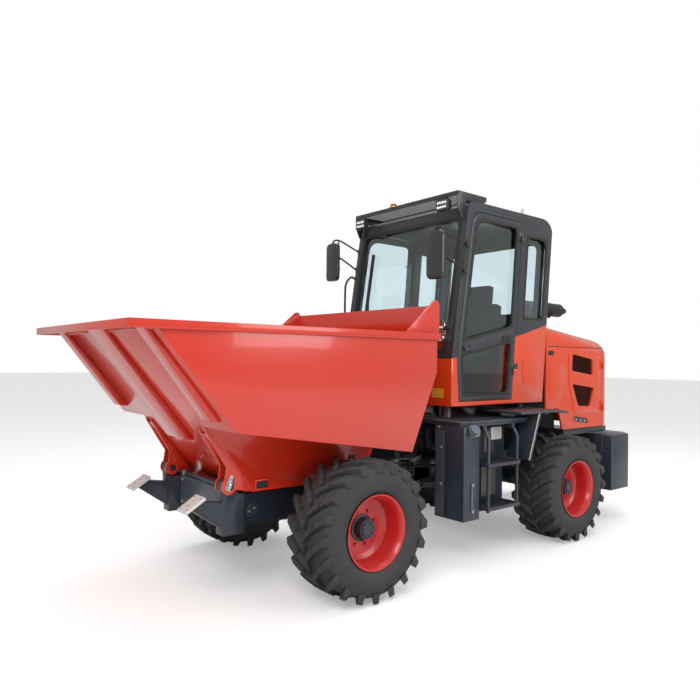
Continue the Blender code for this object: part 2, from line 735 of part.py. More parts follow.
# ---------------------------------------------------------------- rear frame
def make_rear_frame():
    half = rear_frame_half_width
    low_z, high_z = rear_frame_bottom_z, rear_frame_top_z
    front_y, end_y = rear_frame_front_y, ballast_front_y - seat_gap
    seat_front, seat_rear = rear_axle_y - axle_seat_half_length, rear_axle_y + axle_seat_half_length
    side_outline = [(front_y, low_z), (seat_front, low_z), (seat_front, axle_seat_z),
                    (seat_rear, axle_seat_z),
                    (seat_rear, low_z), (end_y, low_z), (end_y, high_z), (front_y, high_z)]
    inner = half - frame_plate / 2
    pieces = [outline_box(side_outline, half, frame_plate, -1),
              box((-inner, end_y - 0.03, low_z), (inner, end_y, high_z)),
              box((-inner, front_y + 0.04, low_z), (inner, front_y + 0.07, high_z))]
    tongue = ([(-inner, front_y + 0.06), (-inner, front_y)]
              + arc((0, pivot_y), yoke_radius, radians(160), radians(380), 14) + [(inner, front_y),
                  (inner, front_y + 0.06)])
    tongue_low = yoke_bottom_z + yoke_plate + swing_gap
    tongue_high = yoke_top_z - 2 * yoke_plate - swing_gap
    for plate_z in (tongue_low, tongue_high):
        pieces.append(prism(tongue, plate_z, plate_z + yoke_plate, "Z"))
    web_y = pivot_y + web_end_reach
    head = 0.014
    for side in (1, -1):
        web = [(side * (inner + 0.01), front_y + 0.05), (side * (inner + 0.01), front_y),
               (side * web_end_x, web_y),
               (side * (web_end_x - 0.03), web_y), (side * (inner - 0.02), front_y + 0.02),
               (side * (inner - 0.02), front_y + 0.05)]
        pieces.append(prism(web, tongue_low + 0.001, tongue_high + yoke_plate - 0.001, "Z"))
        pin, reach = rear_steer_pin(side), Vector((0, 0, eye_half_width + 0.03))
        pieces.append(steering_lugs(pin, side))
        pieces.append(rod(pin - reach, pin + reach, cylinder_pin_radius, 20))
        low, high = mirrored(half - 0.06, half, side)
        for post_y in (front_y + 0.02, deck_core_y[1] - 0.13):
            pieces.append(box((low, post_y, high_z - 0.01),
                              (high, post_y + 0.08, beam_bottom_z - seat_gap)))
        low, high = mirrored(half - 0.014, half + 0.03, side)
        rail_low, rail_high = mirrored(hood_half_width - 0.08, hood_half_width - hood_wall, side)
        shelf_low, shelf_high = mirrored(half - 0.014, hood_half_width - hood_wall, side)
        for post_y in (1.64, 2.19):
            pieces.append(box((low, post_y, high_z - 0.05), (high, post_y + 0.05, hood_bottom_z - 0.02)))
            pieces.append(box((shelf_low, post_y, hood_bottom_z - 0.055),
                              (shelf_high, post_y + 0.05, hood_bottom_z - seat_gap)))
        pieces.append(box((rail_low, 1.62, hood_bottom_z - 0.055),
                          (rail_high, hood_rear_y - 0.03, hood_bottom_z - seat_gap)))
    wall_y = (hood_front_y, hood_front_y + 0.03)
    pieces.append(box((-half + 0.002, wall_y[0], high_z - 0.01),
                      (half - 0.002, wall_y[1], hood_arch_z - 0.03)))
    pieces.append(box((-hood_half_width, wall_y[0], hood_arch_z - 0.05),
                      (hood_half_width, wall_y[1], hood_arch_z - seat_gap)))
    pieces.append(rod((0, pivot_y, yoke_bottom_z - head), (0, pivot_y, yoke_top_z + head),
                      centre_pin_radius, 24))
    for low, high in ((yoke_bottom_z - head, yoke_bottom_z - seat_gap),
                      (yoke_top_z + seat_gap, yoke_top_z + head)):
        pieces.append(rod((0, pivot_y, low), (0, pivot_y, high), centre_pin_radius * 1.6, 24))
    return join(outline_box(side_outline, half, frame_plate, 1), *pieces)


def make_engine():
    return box((-0.28, hood_front_y + 0.15, rear_frame_top_z + seat_gap), (0.28, hood_seam_y - 0.25, 1.50))


def make_exhaust():
    """Silencer lying along the hood, on a pipe that rises through it from the engine."""
    x, foot_y = 0.24, hood_front_y + 0.33
    pipe = rod((x, foot_y, 1.50 + seat_gap), (x, foot_y, silencer_z), 0.028, 16)
    drum = rod((x, foot_y - 0.10, silencer_z), (x, foot_y + 0.58, silencer_z), 0.072, 24)
    tail = rod((x, foot_y + 0.56, silencer_z), (x, foot_y + 0.66, silencer_z), 0.030, 16)
    return join(drum, pipe, tail)


def make_ballast():
    half, front, rear = ballast_half_width, ballast_front_y, half_length
    chamfer = ballast_chamfer
    plan = [(half, front), (half, rear - chamfer), (half - chamfer, rear), (chamfer - half, rear),
            (-half, rear - chamfer),
            (-half, front)]
    block = prism(plan, ballast_bottom_z, ballast_top_z, "Z")
    toe = prism([(rear - 0.07, ballast_bottom_z - 0.1), (rear + 0.1, ballast_bottom_z - 0.1),
                 (rear + 0.1, ballast_bottom_z + 0.12)], -1, 1)
    return cut(block, toe)


# ---------------------------------------------------------------- deck, tanks, steps and fenders
def make_deck():
    """Plate under the cab and over the tanks, on two beams, with the cab's four rubber mounts."""
    low_z = deck_top_z - deck_plate
    core, wide = deck_core_half_width, deck_half_width
    plan = [(core, deck_core_y[1]), (core, deck_step_y), (wide, deck_step_y), (wide, deck_front_y + 0.05),
            (wide - 0.05, deck_front_y), (0.05 - wide, deck_front_y), (-wide, deck_front_y + 0.05),
            (-wide, deck_step_y),
            (-core, deck_step_y), (-core, deck_core_y[1])]
    pieces = []
    for side in (1, -1):
        low, high = mirrored(rear_frame_half_width - 0.06, rear_frame_half_width, side)
        pieces.append(box((low, deck_front_y + 0.02, beam_bottom_z),
                          (high, deck_core_y[1] - 0.01, low_z + 0.01)))
        for y in (0.10, 1.10):
            pieces.append(rod((side * 0.50, y, deck_top_z - 0.01), (side * 0.50, y, cab_floor_z - seat_gap),
                              0.05, 20))
    return join(prism(plan, low_z, deck_top_z, "Z"), *pieces)


def make_tank(side):
    low, high = mirrored(tank_inner_x, deck_half_width, side)
    shallow = mirrored(tank_inner_x, tank_shallow_x, side)
    top_z = deck_top_z - deck_plate - seat_gap
    deep = box((low, tank_front_y, tank_bottom_z), (high, tank_split_y, top_z))
    return join(deep, box((shallow[0], tank_split_y - 0.01, tank_bottom_z),
                          (shallow[1], tank_rear_y, top_z)))


def make_steps(side):
    """Two bent rails under the deck's edge, with two treads between them."""
    top_z = deck_top_z - deck_plate - seat_gap
    radius = step_rail_radius
    pieces = []
    for y in step_rail_ys:
        route = [(step_rail_x, step_tread_zs[0] - 0.04), (step_rail_x, top_z - 0.10),
                 (step_rail_x - 0.03, top_z - 0.04),
                 (deck_half_width - 0.035, top_z - radius * 1.5)]
        pieces.append(tube([(side * x, y, z) for x, z in route], radius))
        low, high = mirrored(deck_half_width - 0.06, deck_half_width - 0.005, side)
        pieces.append(box((low, y - 0.02, top_z - radius * 2.7), (high, y + 0.02, top_z)))
    low, high = mirrored(tank_shallow_x + seat_gap, step_rail_x + 0.02, side)
    for z in step_tread_zs:
        pieces.append(box((low, step_rail_ys[0] - 0.02, z - step_tread_plate),
                          (high, step_rail_ys[1] + 0.02, z)))
    return join(pieces[0], *pieces[1:])


def make_fender(side):
    """Top plate over the rear wheel, a blade down its front, and a flange against the deck."""
    top, plate = fender_top_z, fender_plate
    blade_top_y, blade_foot_y, blade_foot_z = deck_step_y + 0.04, 0.575, 0.80
    outer = mirrored(deck_core_half_width + seat_gap, fender_outer_x, side)
    cover = prism([(fender_front_y, top - plate), (fender_rear_y - 0.12, top - plate),
                   (fender_rear_y, top - plate - 0.02),
                   (fender_rear_y, top - plate), (fender_rear_y - 0.12, top), (fender_front_y, top)],
                   *outer)
    blade_range = mirrored(tank_shallow_x + 0.02, fender_outer_x, side)
    blade = prism([(blade_foot_y, blade_foot_z), (blade_foot_y + 0.02, blade_foot_z),
                   (blade_top_y + 0.02, top - plate / 2), (blade_top_y, top - plate / 2)], *blade_range)
    flange = mirrored(deck_core_half_width + seat_gap, deck_core_half_width + 0.02, side)
    wall = box((flange[0], deck_step_y + 0.01, deck_top_z - deck_plate),
               (flange[1], fender_rear_y - 0.02, top - 0.001))
    return join(cover, blade, wall)


# ---------------------------------------------------------------- cab
def door_outline():
    """Side view of a door: Y, Z, counter-clockwise."""
    low, top = door_bottom_z, door_top_z
    front = cab_front_y + door_front_inset
    edge = screen_y(top) + door_front_inset
    return [(front + 0.025, low), (door_rear_y(low), low), (door_rear_y(top), top), (edge + 0.07, top),
            (edge + 0.022, top - 0.025), (screen_y(top - 0.09) + door_front_inset, top - 0.09),
            (front, cab_belt_front_z)]


def strip(front_low, rear_low, front_high, rear_high, low_z, high_z):
    return [(front_low, low_z), (rear_low, low_z), (rear_high, high_z), (front_high, high_z)]


def window_outlines():
    """Door windows, between the border, and the sloping rail across the door."""
    sill = door_bottom_z + door_border
    head = door_top_z - door_border
    front = lambda z: screen_y(z) + door_front_inset + door_border
    rear = lambda z: door_rear_y(z) - door_border
    rail = ((1.665, 1.775), (1.800, 1.915))
    lower = [(front(sill) + 0.025, sill), (rear(sill), sill), (rear(rail[1][0]), rail[1][0]),
             (front(rail[0][0]), rail[0][0])]
    upper = [(front(rail[0][1]), rail[0][1]), (rear(rail[1][1]), rail[1][1]), (rear(head), head),
             (front(head) + 0.05, head),
             (front(head - 0.08), head - 0.08)]
    return lower, upper


def door_opening():
    return prism(offset_outline(door_outline(), [-swing_gap] * 7), -1, 1)


def make_cab_body():
    outline = [(cab_front_y, cab_floor_z), (cab_back_y(cab_floor_z), cab_floor_z),
               (cab_back_y(cab_belt_rear_z), cab_belt_rear_z), (cab_belt_kink_y, cab_belt_kink_z),
               (cab_front_y, cab_belt_front_z)]
    inner = offset_outline(outline, [0.03, cab_wall, -0.15, -0.15, cab_wall])
    shell = cut(prism(outline, -cab_half_width, cab_half_width),
                prism(inner, cab_wall - cab_half_width, cab_half_width - cab_wall), door_opening())
    return join(shell, *[knuckle for side in (1, -1) for knuckle in hinge_halves(side, 0, 0)])


def quarter_outline():
    low, high = 2.000, 2.760
    return strip(door_rear_y(low) + 0.10, cab_back_y(low) - 0.065, door_rear_y(high) + 0.10,
                 cab_back_y(high) - 0.065,
                 low, high)


def screen_outline(grow, low, high):
    return strip(screen_y(low) + 0.020 - grow, screen_y(low) + 0.020 + glass_plate + grow,
                 screen_y(high) + 0.020 - grow, screen_y(high) + 0.020 + glass_plate + grow, low, high)


def rear_window_outline(grow, low, high):
    return strip(cab_back_y(low) - 0.030 - grow, cab_back_y(low) - 0.030 + glass_plate + grow,
                 cab_back_y(high) - 0.030 - grow, cab_back_y(high) - 0.030 + glass_plate + grow, low, high)


screen_side = 0.070        # between the cab's side and the windscreen's edge
back_window_side = 0.130
screen_window = (cab_half_width - screen_side, 1.690, 2.820)      # half width, low Z, high Z
back_window = (cab_half_width - back_window_side, 2.060, 2.760)


def make_cab_frame():
    low = [(screen_y(cab_belt_front_z), cab_belt_front_z + seat_gap),
           (cab_belt_kink_y, cab_belt_kink_z + seat_gap),
           (cab_back_y(cab_belt_rear_z), cab_belt_rear_z + seat_gap)]
    outline = low + [(cab_back_y(cab_top_z), cab_top_z), (screen_y(cab_top_z), cab_top_z)]
    inner = offset_outline(outline, [-0.1, -0.1, frame_post, -0.1, frame_post])
    shell = cut(prism(outline, -cab_half_width, cab_half_width),
                prism(inner, frame_post - cab_half_width, cab_half_width - frame_post),
                door_opening(), prism(quarter_outline(), -1, 1),
                prism(screen_outline(0.08, *screen_window[1:]), -screen_window[0], screen_window[0]),
                prism(rear_window_outline(0.08, *back_window[1:]), -back_window[0], back_window[0]))
    return join(shell, *[knuckle for side in (1, -1) for knuckle in hinge_halves(side, 1, 0)])


hinge_axis = Vector((0, pillar_lean, door_top_z - door_bottom_z)).normalized()
hinge_radius = 0.011
knuckle_length = 0.05
# height of each hinge, on the cab's lower body and on its frame
door_hinge_zs = (1.50, 2.68)


def hinge_point(side, z):
    return Vector((side * (cab_half_width + hinge_radius + seat_gap), door_rear_y(z) + swing_gap / 2, z))


def hinge_halves(side, index, part):
    """A hinge's knuckle on the cab (part 0) or on the door (part 1), with its leaf."""
    start = hinge_point(side, door_hinge_zs[index])
    if part:
        start = start + hinge_axis * (knuckle_length + seat_gap)
    end = start + hinge_axis * knuckle_length
    low, high = mirrored(cab_half_width - 0.008, cab_half_width + hinge_radius * 0.8, side)
    reach = -0.05 if part else 0.05
    leaf_outline = [(start.y, start.z + 0.003), (start.y + reach, start.z + 0.003),
                    (end.y + reach, end.z - 0.003),
                    (end.y, end.z - 0.003)]
    return [rod(start, end, hinge_radius, 16), prism(leaf_outline, low, high)]


def make_door(side):
    lower, upper = window_outlines()
    inner_x, outer_x = mirrored(cab_half_width - door_plate, cab_half_width, side)
    slab = prism(door_outline(), inner_x, outer_x)
    slab = cut(slab, prism(lower, -1, 1), prism(upper, -1, 1))
    pieces = hinge_halves(side, 0, 1) + hinge_halves(side, 1, 1)
    handle_low, handle_high = mirrored(cab_half_width - 0.005, cab_half_width + 0.03, side)
    handle_y = screen_y(1.72) + door_front_inset + 0.05
    pieces.append(box((handle_low, handle_y, 1.70), (handle_high, handle_y + 0.12, 1.725)))
    return join(slab, *pieces)


def make_door_glass(side):
    """One sheet behind both windows of a door."""
    border = 0.015
    inset = door_border - border
    outline = offset_outline(door_outline(), [inset] * 7)
    low, high = mirrored(cab_half_width - door_plate - seat_gap - glass_plate,
                         cab_half_width - door_plate - seat_gap, side)
    return prism(outline, low, high)


def make_quarter_glass(side):
    low, high = mirrored(cab_half_width - 0.030, cab_half_width - 0.030 + glass_plate, side)
    return prism(offset_outline(quarter_outline(), [seat_gap] * 4), low, high)


def make_screen():
    half, low, high = screen_window
    return prism(screen_outline(0, low + seat_gap, high - seat_gap), seat_gap - half, half - seat_gap)


def make_rear_window():
    half, low, high = back_window
    return prism(rear_window_outline(0, low + seat_gap, high - seat_gap), seat_gap - half, half - seat_gap)


def make_roof():
    low, high = cab_top_z + seat_gap, cab_top_z + roof_plate
    outline = strip(screen_y(cab_top_z) - 0.015, cab_back_y(cab_top_z) + 0.012, screen_y(cab_top_z) + 0.012,
                    cab_back_y(cab_top_z) - 0.015, low, high)
    return prism(outline, -cab_half_width, cab_half_width)


def make_visor():
    """Guard over the windscreen's head, with the two work lamps under its front bar."""
    half, front, rear = cab_half_width - visor_side, 0.05, 0.42
    low, high = cab_top_z + roof_plate + seat_gap, visor_top_z
    pieces = [box((-half, front, low + 0.005), (half, front + 0.02, high))]
    for side in (1, -1):
        edge = mirrored(half - 0.02, half, side)
        pieces.append(prism([(front, low + 0.005), (front + 0.12, low + 0.005), (front + 0.12, low),
                             (rear, low),
                             (rear, high), (front, high)], *edge))
        lamp = mirrored(half - 0.195, half - 0.065, side)
        pieces.append(box((lamp[0], front - 0.055, low - 0.085), (lamp[1], front + 0.012, low + 0.012)))
    return join(box((-half, front, high - 0.012), (half, rear, high)), *pieces)


def make_mirror(side, head, arm_zs):
    """A mirror head on two arms from a foot on the windscreen pillar."""
    low_z, high_z = arm_zs[0] - 0.03, arm_zs[1] + 0.03
    foot_range = mirrored(cab_half_width + seat_gap, cab_half_width + 0.014, side)
    foot = prism(strip(screen_y(low_z) + 0.012, screen_y(low_z) + 0.045, screen_y(high_z) + 0.012,
                       screen_y(high_z) + 0.045, low_z, high_z), *foot_range)
    pieces = [box((head.x - 0.085, head.y - 0.022, head.z - 0.185),
                  (head.x + 0.085, head.y + 0.022, head.z + 0.185))]
    for z in arm_zs:
        pieces.append(rod((side * (cab_half_width + 0.0115), screen_y(z) + 0.028, z), (head.x, head.y, z),
                          0.010, 10))
    return join(foot, *pieces)


def make_seat():
    floor = cab_floor_z + 0.03 + seat_gap
    y = 0.62
    pieces = [prism([(y, floor + 0.26), (y + 0.46, floor + 0.22), (y + 0.46, floor + 0.36),
                     (y + 0.02, floor + 0.40),
                     (y - 0.03, floor + 0.34)], -0.25, 0.25),
              prism([(y + 0.38, floor + 0.30), (y + 0.50, floor + 0.30), (y + 0.56, floor + 0.88),
                     (y + 0.48, floor + 0.90)],
                    -0.24, 0.24),
              prism([(y + 0.475, floor + 0.87), (y + 0.555, floor + 0.87), (y + 0.575, floor + 1.08),
                     (y + 0.505, floor + 1.09)], -0.13, 0.13)]
    return join(box((-0.20, y + 0.04, floor), (0.20, y + 0.42, floor + 0.28)), *pieces)


def make_steering_column():
    """Floor console, leaning column and wheel."""
    floor = cab_floor_z + 0.03 + seat_gap
    foot = Vector((0, 0.12, floor + 0.35))
    hub = Vector((0, 0.36, floor + 0.72))
    lean = (hub - foot).normalized()
    bm = bmesh.new()
    turn = Vector((0, 0, 1)).rotation_difference(lean).to_matrix().to_4x4()
    place = Matrix.Translation(hub) @ turn
    big, small, sides, ring_sides = 0.185, 0.014, 28, 8
    rings = []
    for k in range(sides):
        a = 2 * pi * k / sides
        rings.append([bm.verts.new(place @ Vector(((big + small * cos(2 * pi * j / ring_sides)) * cos(a),
                                                   (big + small * cos(2 * pi * j / ring_sides)) * sin(a),
                                                   small
                                                   * sin(2 * pi
                                                         * j / ring_sides)))) for j in range(ring_sides)])
    for k in range(sides):
        for j in range(ring_sides):
            bm.faces.new((rings[k - 1][j - 1], rings[k - 1][j], rings[k][j], rings[k][j - 1]))
    wheel = object_from(bm)
    spokes = []
    for angle in (0, 120, 240):
        tip = place @ Vector((big * cos(radians(angle)), big * sin(radians(angle)), 0))
        spokes.append(rod(hub - lean * 0.01, tip - lean * 0.002, 0.010, 8))
    return join(rod(foot - lean * 0.1, hub + lean * 0.01, 0.035, 16),
                prism([(0.0, floor), (0.26, floor), (0.22, floor + 0.42), (0.02, floor + 0.42)], -0.14,
                      0.14), *spokes, wheel)


# ---------------------------------------------------------------- hood
def hood_section(y, half, top_z, bottom_z, shoulder):
    points = [(half, bottom_z)] + [(half - shoulder + a, top_z - shoulder + b)
                                   for a, b in arc((0, 0), shoulder, 0, pi / 2, 6)]
    points += [(-x, z) for x, z in reversed(points)]
    return [(x, y, z) for x, z in points]


def hood_solid(inset):
    """Hood's outer form, or its inside when inset is the wall."""
    half, bottom = hood_half_width - inset, hood_bottom_z - (0.05 if inset else 0)
    front = hood_front_y - (0.05 if inset else 0)
    # y, half width, drop of the top below its line
    table = ((front, half, 0), (hood_seam_y, half, 0), (hood_seam_y + 0.07, half - 0.012, 0.02),
             (hood_rear_y - inset, half - 0.06, 0.10))
    return loft([hood_section(y, width, hood_top_z(min(y, hood_seam_y)) - drop - inset, bottom,
                              hood_shoulder - inset)
                 for y, width, drop in table])


def make_hood_pieces():
    """Top with its front arch, rear cap, and the two side doors, cut from one shell."""
    shell = cut(hood_solid(0), hood_solid(hood_wall))
    front, post_y = hood_front_y, hood_front_y + 0.022
    top_region = prism([(front - 0.1, hood_arch_z), (post_y, hood_arch_z), (post_y, hood_split_z),
                        (hood_seam_y - seat_gap, hood_split_z), (hood_seam_y - seat_gap, 3),
                        (front - 0.1, 3)], -1, 1)
    top = keep(clone(shell), top_region)
    pipe_x, pipe_y = 0.24, hood_front_y + 0.33
    top = cut(top, rod((pipe_x, pipe_y, 1.6), (pipe_x, pipe_y, 2.2), 0.028 + swing_gap, 20))
    cap = keep(clone(shell), box((-1, hood_seam_y, 0), (1, hood_seam_y + 1, 3)))
    door_front, door_rear = post_y + swing_gap, hood_seam_y - swing_gap
    low, high = hood_bottom_z + swing_gap, hood_split_z - swing_gap
    outline = [(door_front, hood_arch_z), (hood_arch_rear_y, hood_arch_z), (hood_arch_rear_y + 0.07, low),
               (door_rear, low), (door_rear, high), (door_front, high)]
    doors = {}
    for side in (1, -1):
        doors[side] = keep(clone(shell), prism(outline, *mirrored(0.3, 1, side)))
        cap_parts, door_parts = [], []
        for z in hood_hinge_zs:
            axis_x = side * (hood_half_width + hinge_radius + seat_gap)
            leaf = mirrored(hood_half_width - 0.008, hood_half_width + hinge_radius * 0.8, side)
            for part, parts in ((0, cap_parts), (1, door_parts)):
                start = z + part * (knuckle_length + seat_gap)
                parts.append(rod((axis_x, hood_seam_y, start),
                                 (axis_x, hood_seam_y, start + knuckle_length), hinge_radius, 16))
                ys = (hood_seam_y - 0.04, hood_seam_y) if part else (hood_seam_y, hood_seam_y + 0.02)
                parts.append(box((leaf[0], ys[0], start + 0.003),
                                 (leaf[1], ys[1], start + knuckle_length - 0.003)))
        cap = join(cap, *cap_parts)
        doors[side] = join(doors[side], *door_parts)
    bpy.data.objects.remove(shell)
    return top, cap, doors


def make_skip_lugs():
    """Two plates under the hopper for the tipping cylinder's eye, on a pad plate."""
    top_z = hopper_bottom_z - seat_gap
    y, z = tip_rod_eye.y, tip_rod_eye.z
    pieces = []
    for side in (1, -1):
        low, high = mirrored(eye_half_width + swing_gap, eye_half_width + swing_gap + 0.015, side)
        pieces.append(prism([(y - 0.05, top_z - 0.002), (y - 0.05, z)] + arc((y, z), 0.045, radians(180),
            radians(360), 10)
                            + [(y + 0.05, z), (y + 0.05, top_z - 0.002)], low, high))
    return join(box((-0.06, y - 0.055, top_z - 0.006), (0.06, y + 0.055, top_z)), *pieces)


# ---------------------------------------------------------------- build
def main():
    for item in list(bpy.data.objects):
        bpy.data.objects.remove(item)
    world_place.clear()
    rear = body("rear_body", (0, rear_axle_y, 0))
    front = body("front_body", (0, pivot_y, 0), rear)
    skip = body("skip_body", (0, tip_pin_y, tip_pin_z), front)

    finish("rear_frame", make_rear_frame(), "chassis_navy", rear)
    finish("rear_axle", make_axle(rear_axle_y), "chassis_navy", rear)
    finish("counterweight", make_ballast(), "chassis_navy", rear)
    finish("engine_block", make_engine(), "engine_grey", rear)
    finish("exhaust", make_exhaust(), "black_plastic", rear)
    finish("cab_deck", make_deck(), "chassis_navy", rear)
    finish("cab_body", make_cab_body(), "body_orange", rear)
    finish("cab_frame", make_cab_frame(), "cab_grey", rear)
    finish("cab_roof", make_roof(), "cab_grey", rear)
    finish("visor_guard", make_visor(), "cab_grey", rear)
    finish("beacon", rod((-0.19, 0.12, visor_top_z + seat_gap), (-0.19, 0.12, visor_top_z + 0.05), 0.042,
                         20), "amber", rear)
    finish("windscreen", make_screen(), "glass", rear)
    finish("rear_window", make_rear_window(), "glass", rear)
    finish("seat", make_seat(), "seat_black", rear)
    finish("steering_column", make_steering_column(), "black_plastic", rear)
    finish("left_mirror", make_mirror(1, Vector((0.80, -0.36, 2.42)), (2.30, 2.56)), "black_plastic", rear)
    finish("right_mirror", make_mirror(-1, Vector((-0.78, -0.13, 2.56)), (2.44, 2.66)), "black_plastic",
           rear)

    hood_top, hood_cap, hood_doors = make_hood_pieces()
    finish("hood_top", hood_top, "body_orange", rear)
    finish("hood_rear_cap", hood_cap, "body_orange", rear)
    finish("front_frame", make_front_frame(), "chassis_navy", front)
    finish("front_axle", make_axle(front_axle_y), "chassis_navy", front)
    finish("skip_shell", make_skip_shell(), "skip_red", skip)
    finish("skip_rim", make_skip_rim(), "skip_red", skip)
    finish("skip_back_board", make_back_board(), "skip_red", skip)
    finish("skip_cylinder_lugs", make_skip_lugs(), "skip_red", skip)

    tip_barrel = body("tip_barrel_body", tip_barrel_pin, front)
    tip_rod = body("tip_rod_body", tip_rod_eye, tip_barrel)
    finish("tip_barrel", make_barrel(tip_barrel_pin, tip_rod_eye, tip_barrel_length, tip_barrel_radius,
                                     tip_rod_radius,
                                     tip_rod_tail, False), "chassis_navy", tip_barrel)
    finish("tip_rod", make_bar(tip_barrel_pin, tip_rod_eye, tip_rod_radius, tip_rod_tail, False), "steel",
           tip_rod)

    for side, name in ((1, "left"), (-1, "right")):
        finish(name + "_tank", make_tank(side), "chassis_navy", rear)
        finish(name + "_steps", make_steps(side), "chassis_navy", rear)
        finish(name + "_fender", make_fender(side), "chassis_navy", rear)
        finish(name + "_quarter_window", make_quarter_glass(side), "glass", rear)
        finish("skip_" + name + "_ear", make_ear(side), "skip_red", skip)
        door = body(name + "_door_body", hinge_point(side, door_hinge_zs[0]), rear)
        finish(name + "_door", make_door(side), "cab_grey", door)
        finish(name + "_door_glass", make_door_glass(side), "glass", door)
        hood_door = body(name + "_hood_door_body",
                         (side * (hood_half_width + hinge_radius + seat_gap), hood_seam_y,
                          hood_hinge_zs[0]), rear)
        finish(name + "_hood_door", hood_doors[side], "body_orange", hood_door)
        pin, eye = rear_steer_pin(side), front_steer_eye(side)
        barrel = body(name + "_steer_barrel_body", pin, rear)
        bar = body(name + "_steer_rod_body", eye, barrel)
        finish(name + "_steer_barrel",
               make_barrel(pin, eye, steer_barrel_length, steer_barrel_radius, steer_rod_radius,
                                                   steer_rod_tail - steer_inward, True), "chassis_navy",
                                                   barrel)
        finish(name + "_steer_rod", make_bar(pin, eye, steer_rod_radius, steer_rod_tail, True), "steel",
               bar)
        for end, axle_y, carrier in (("front", front_axle_y, front), ("rear", rear_axle_y, rear)):
            centre = (side * wheel_x, axle_y, tyre_radius)
            wheel = body(end + "_" + name + "_wheel_body", centre, carrier)
            finish(end + "_" + name + "_tyre", make_tyre(centre, side), "tyre_rubber", wheel)
            finish(end + "_" + name + "_rim", make_rim(centre, side), "rim_red", wheel)


main()
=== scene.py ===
import bmesh
import bpy
import json
from math import cos, pi, radians, sin
from mathutils import Matrix, Vector

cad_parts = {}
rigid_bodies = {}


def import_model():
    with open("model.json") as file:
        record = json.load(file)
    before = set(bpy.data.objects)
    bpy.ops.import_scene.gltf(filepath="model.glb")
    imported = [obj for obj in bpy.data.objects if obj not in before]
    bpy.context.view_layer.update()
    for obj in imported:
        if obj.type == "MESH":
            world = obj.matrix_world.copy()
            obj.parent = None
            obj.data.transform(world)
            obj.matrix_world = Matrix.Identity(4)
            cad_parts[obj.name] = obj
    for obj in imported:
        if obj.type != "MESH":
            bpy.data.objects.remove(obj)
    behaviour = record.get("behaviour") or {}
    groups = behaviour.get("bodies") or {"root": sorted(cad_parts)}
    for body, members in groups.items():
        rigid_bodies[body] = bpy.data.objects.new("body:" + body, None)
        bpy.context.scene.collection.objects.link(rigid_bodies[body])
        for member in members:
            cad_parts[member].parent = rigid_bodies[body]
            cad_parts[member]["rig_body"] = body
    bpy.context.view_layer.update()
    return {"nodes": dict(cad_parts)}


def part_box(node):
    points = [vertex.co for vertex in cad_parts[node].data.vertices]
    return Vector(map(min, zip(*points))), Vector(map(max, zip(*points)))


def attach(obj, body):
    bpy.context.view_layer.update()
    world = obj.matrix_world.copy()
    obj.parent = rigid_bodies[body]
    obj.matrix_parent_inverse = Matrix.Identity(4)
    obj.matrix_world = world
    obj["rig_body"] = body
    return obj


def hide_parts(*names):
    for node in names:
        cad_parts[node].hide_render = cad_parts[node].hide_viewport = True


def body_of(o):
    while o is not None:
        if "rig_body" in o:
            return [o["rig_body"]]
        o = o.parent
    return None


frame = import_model()
nodes = frame["nodes"]
print("frame loaded")

scene = bpy.context.scene
sides = ((1, "left"), (-1, "right"))


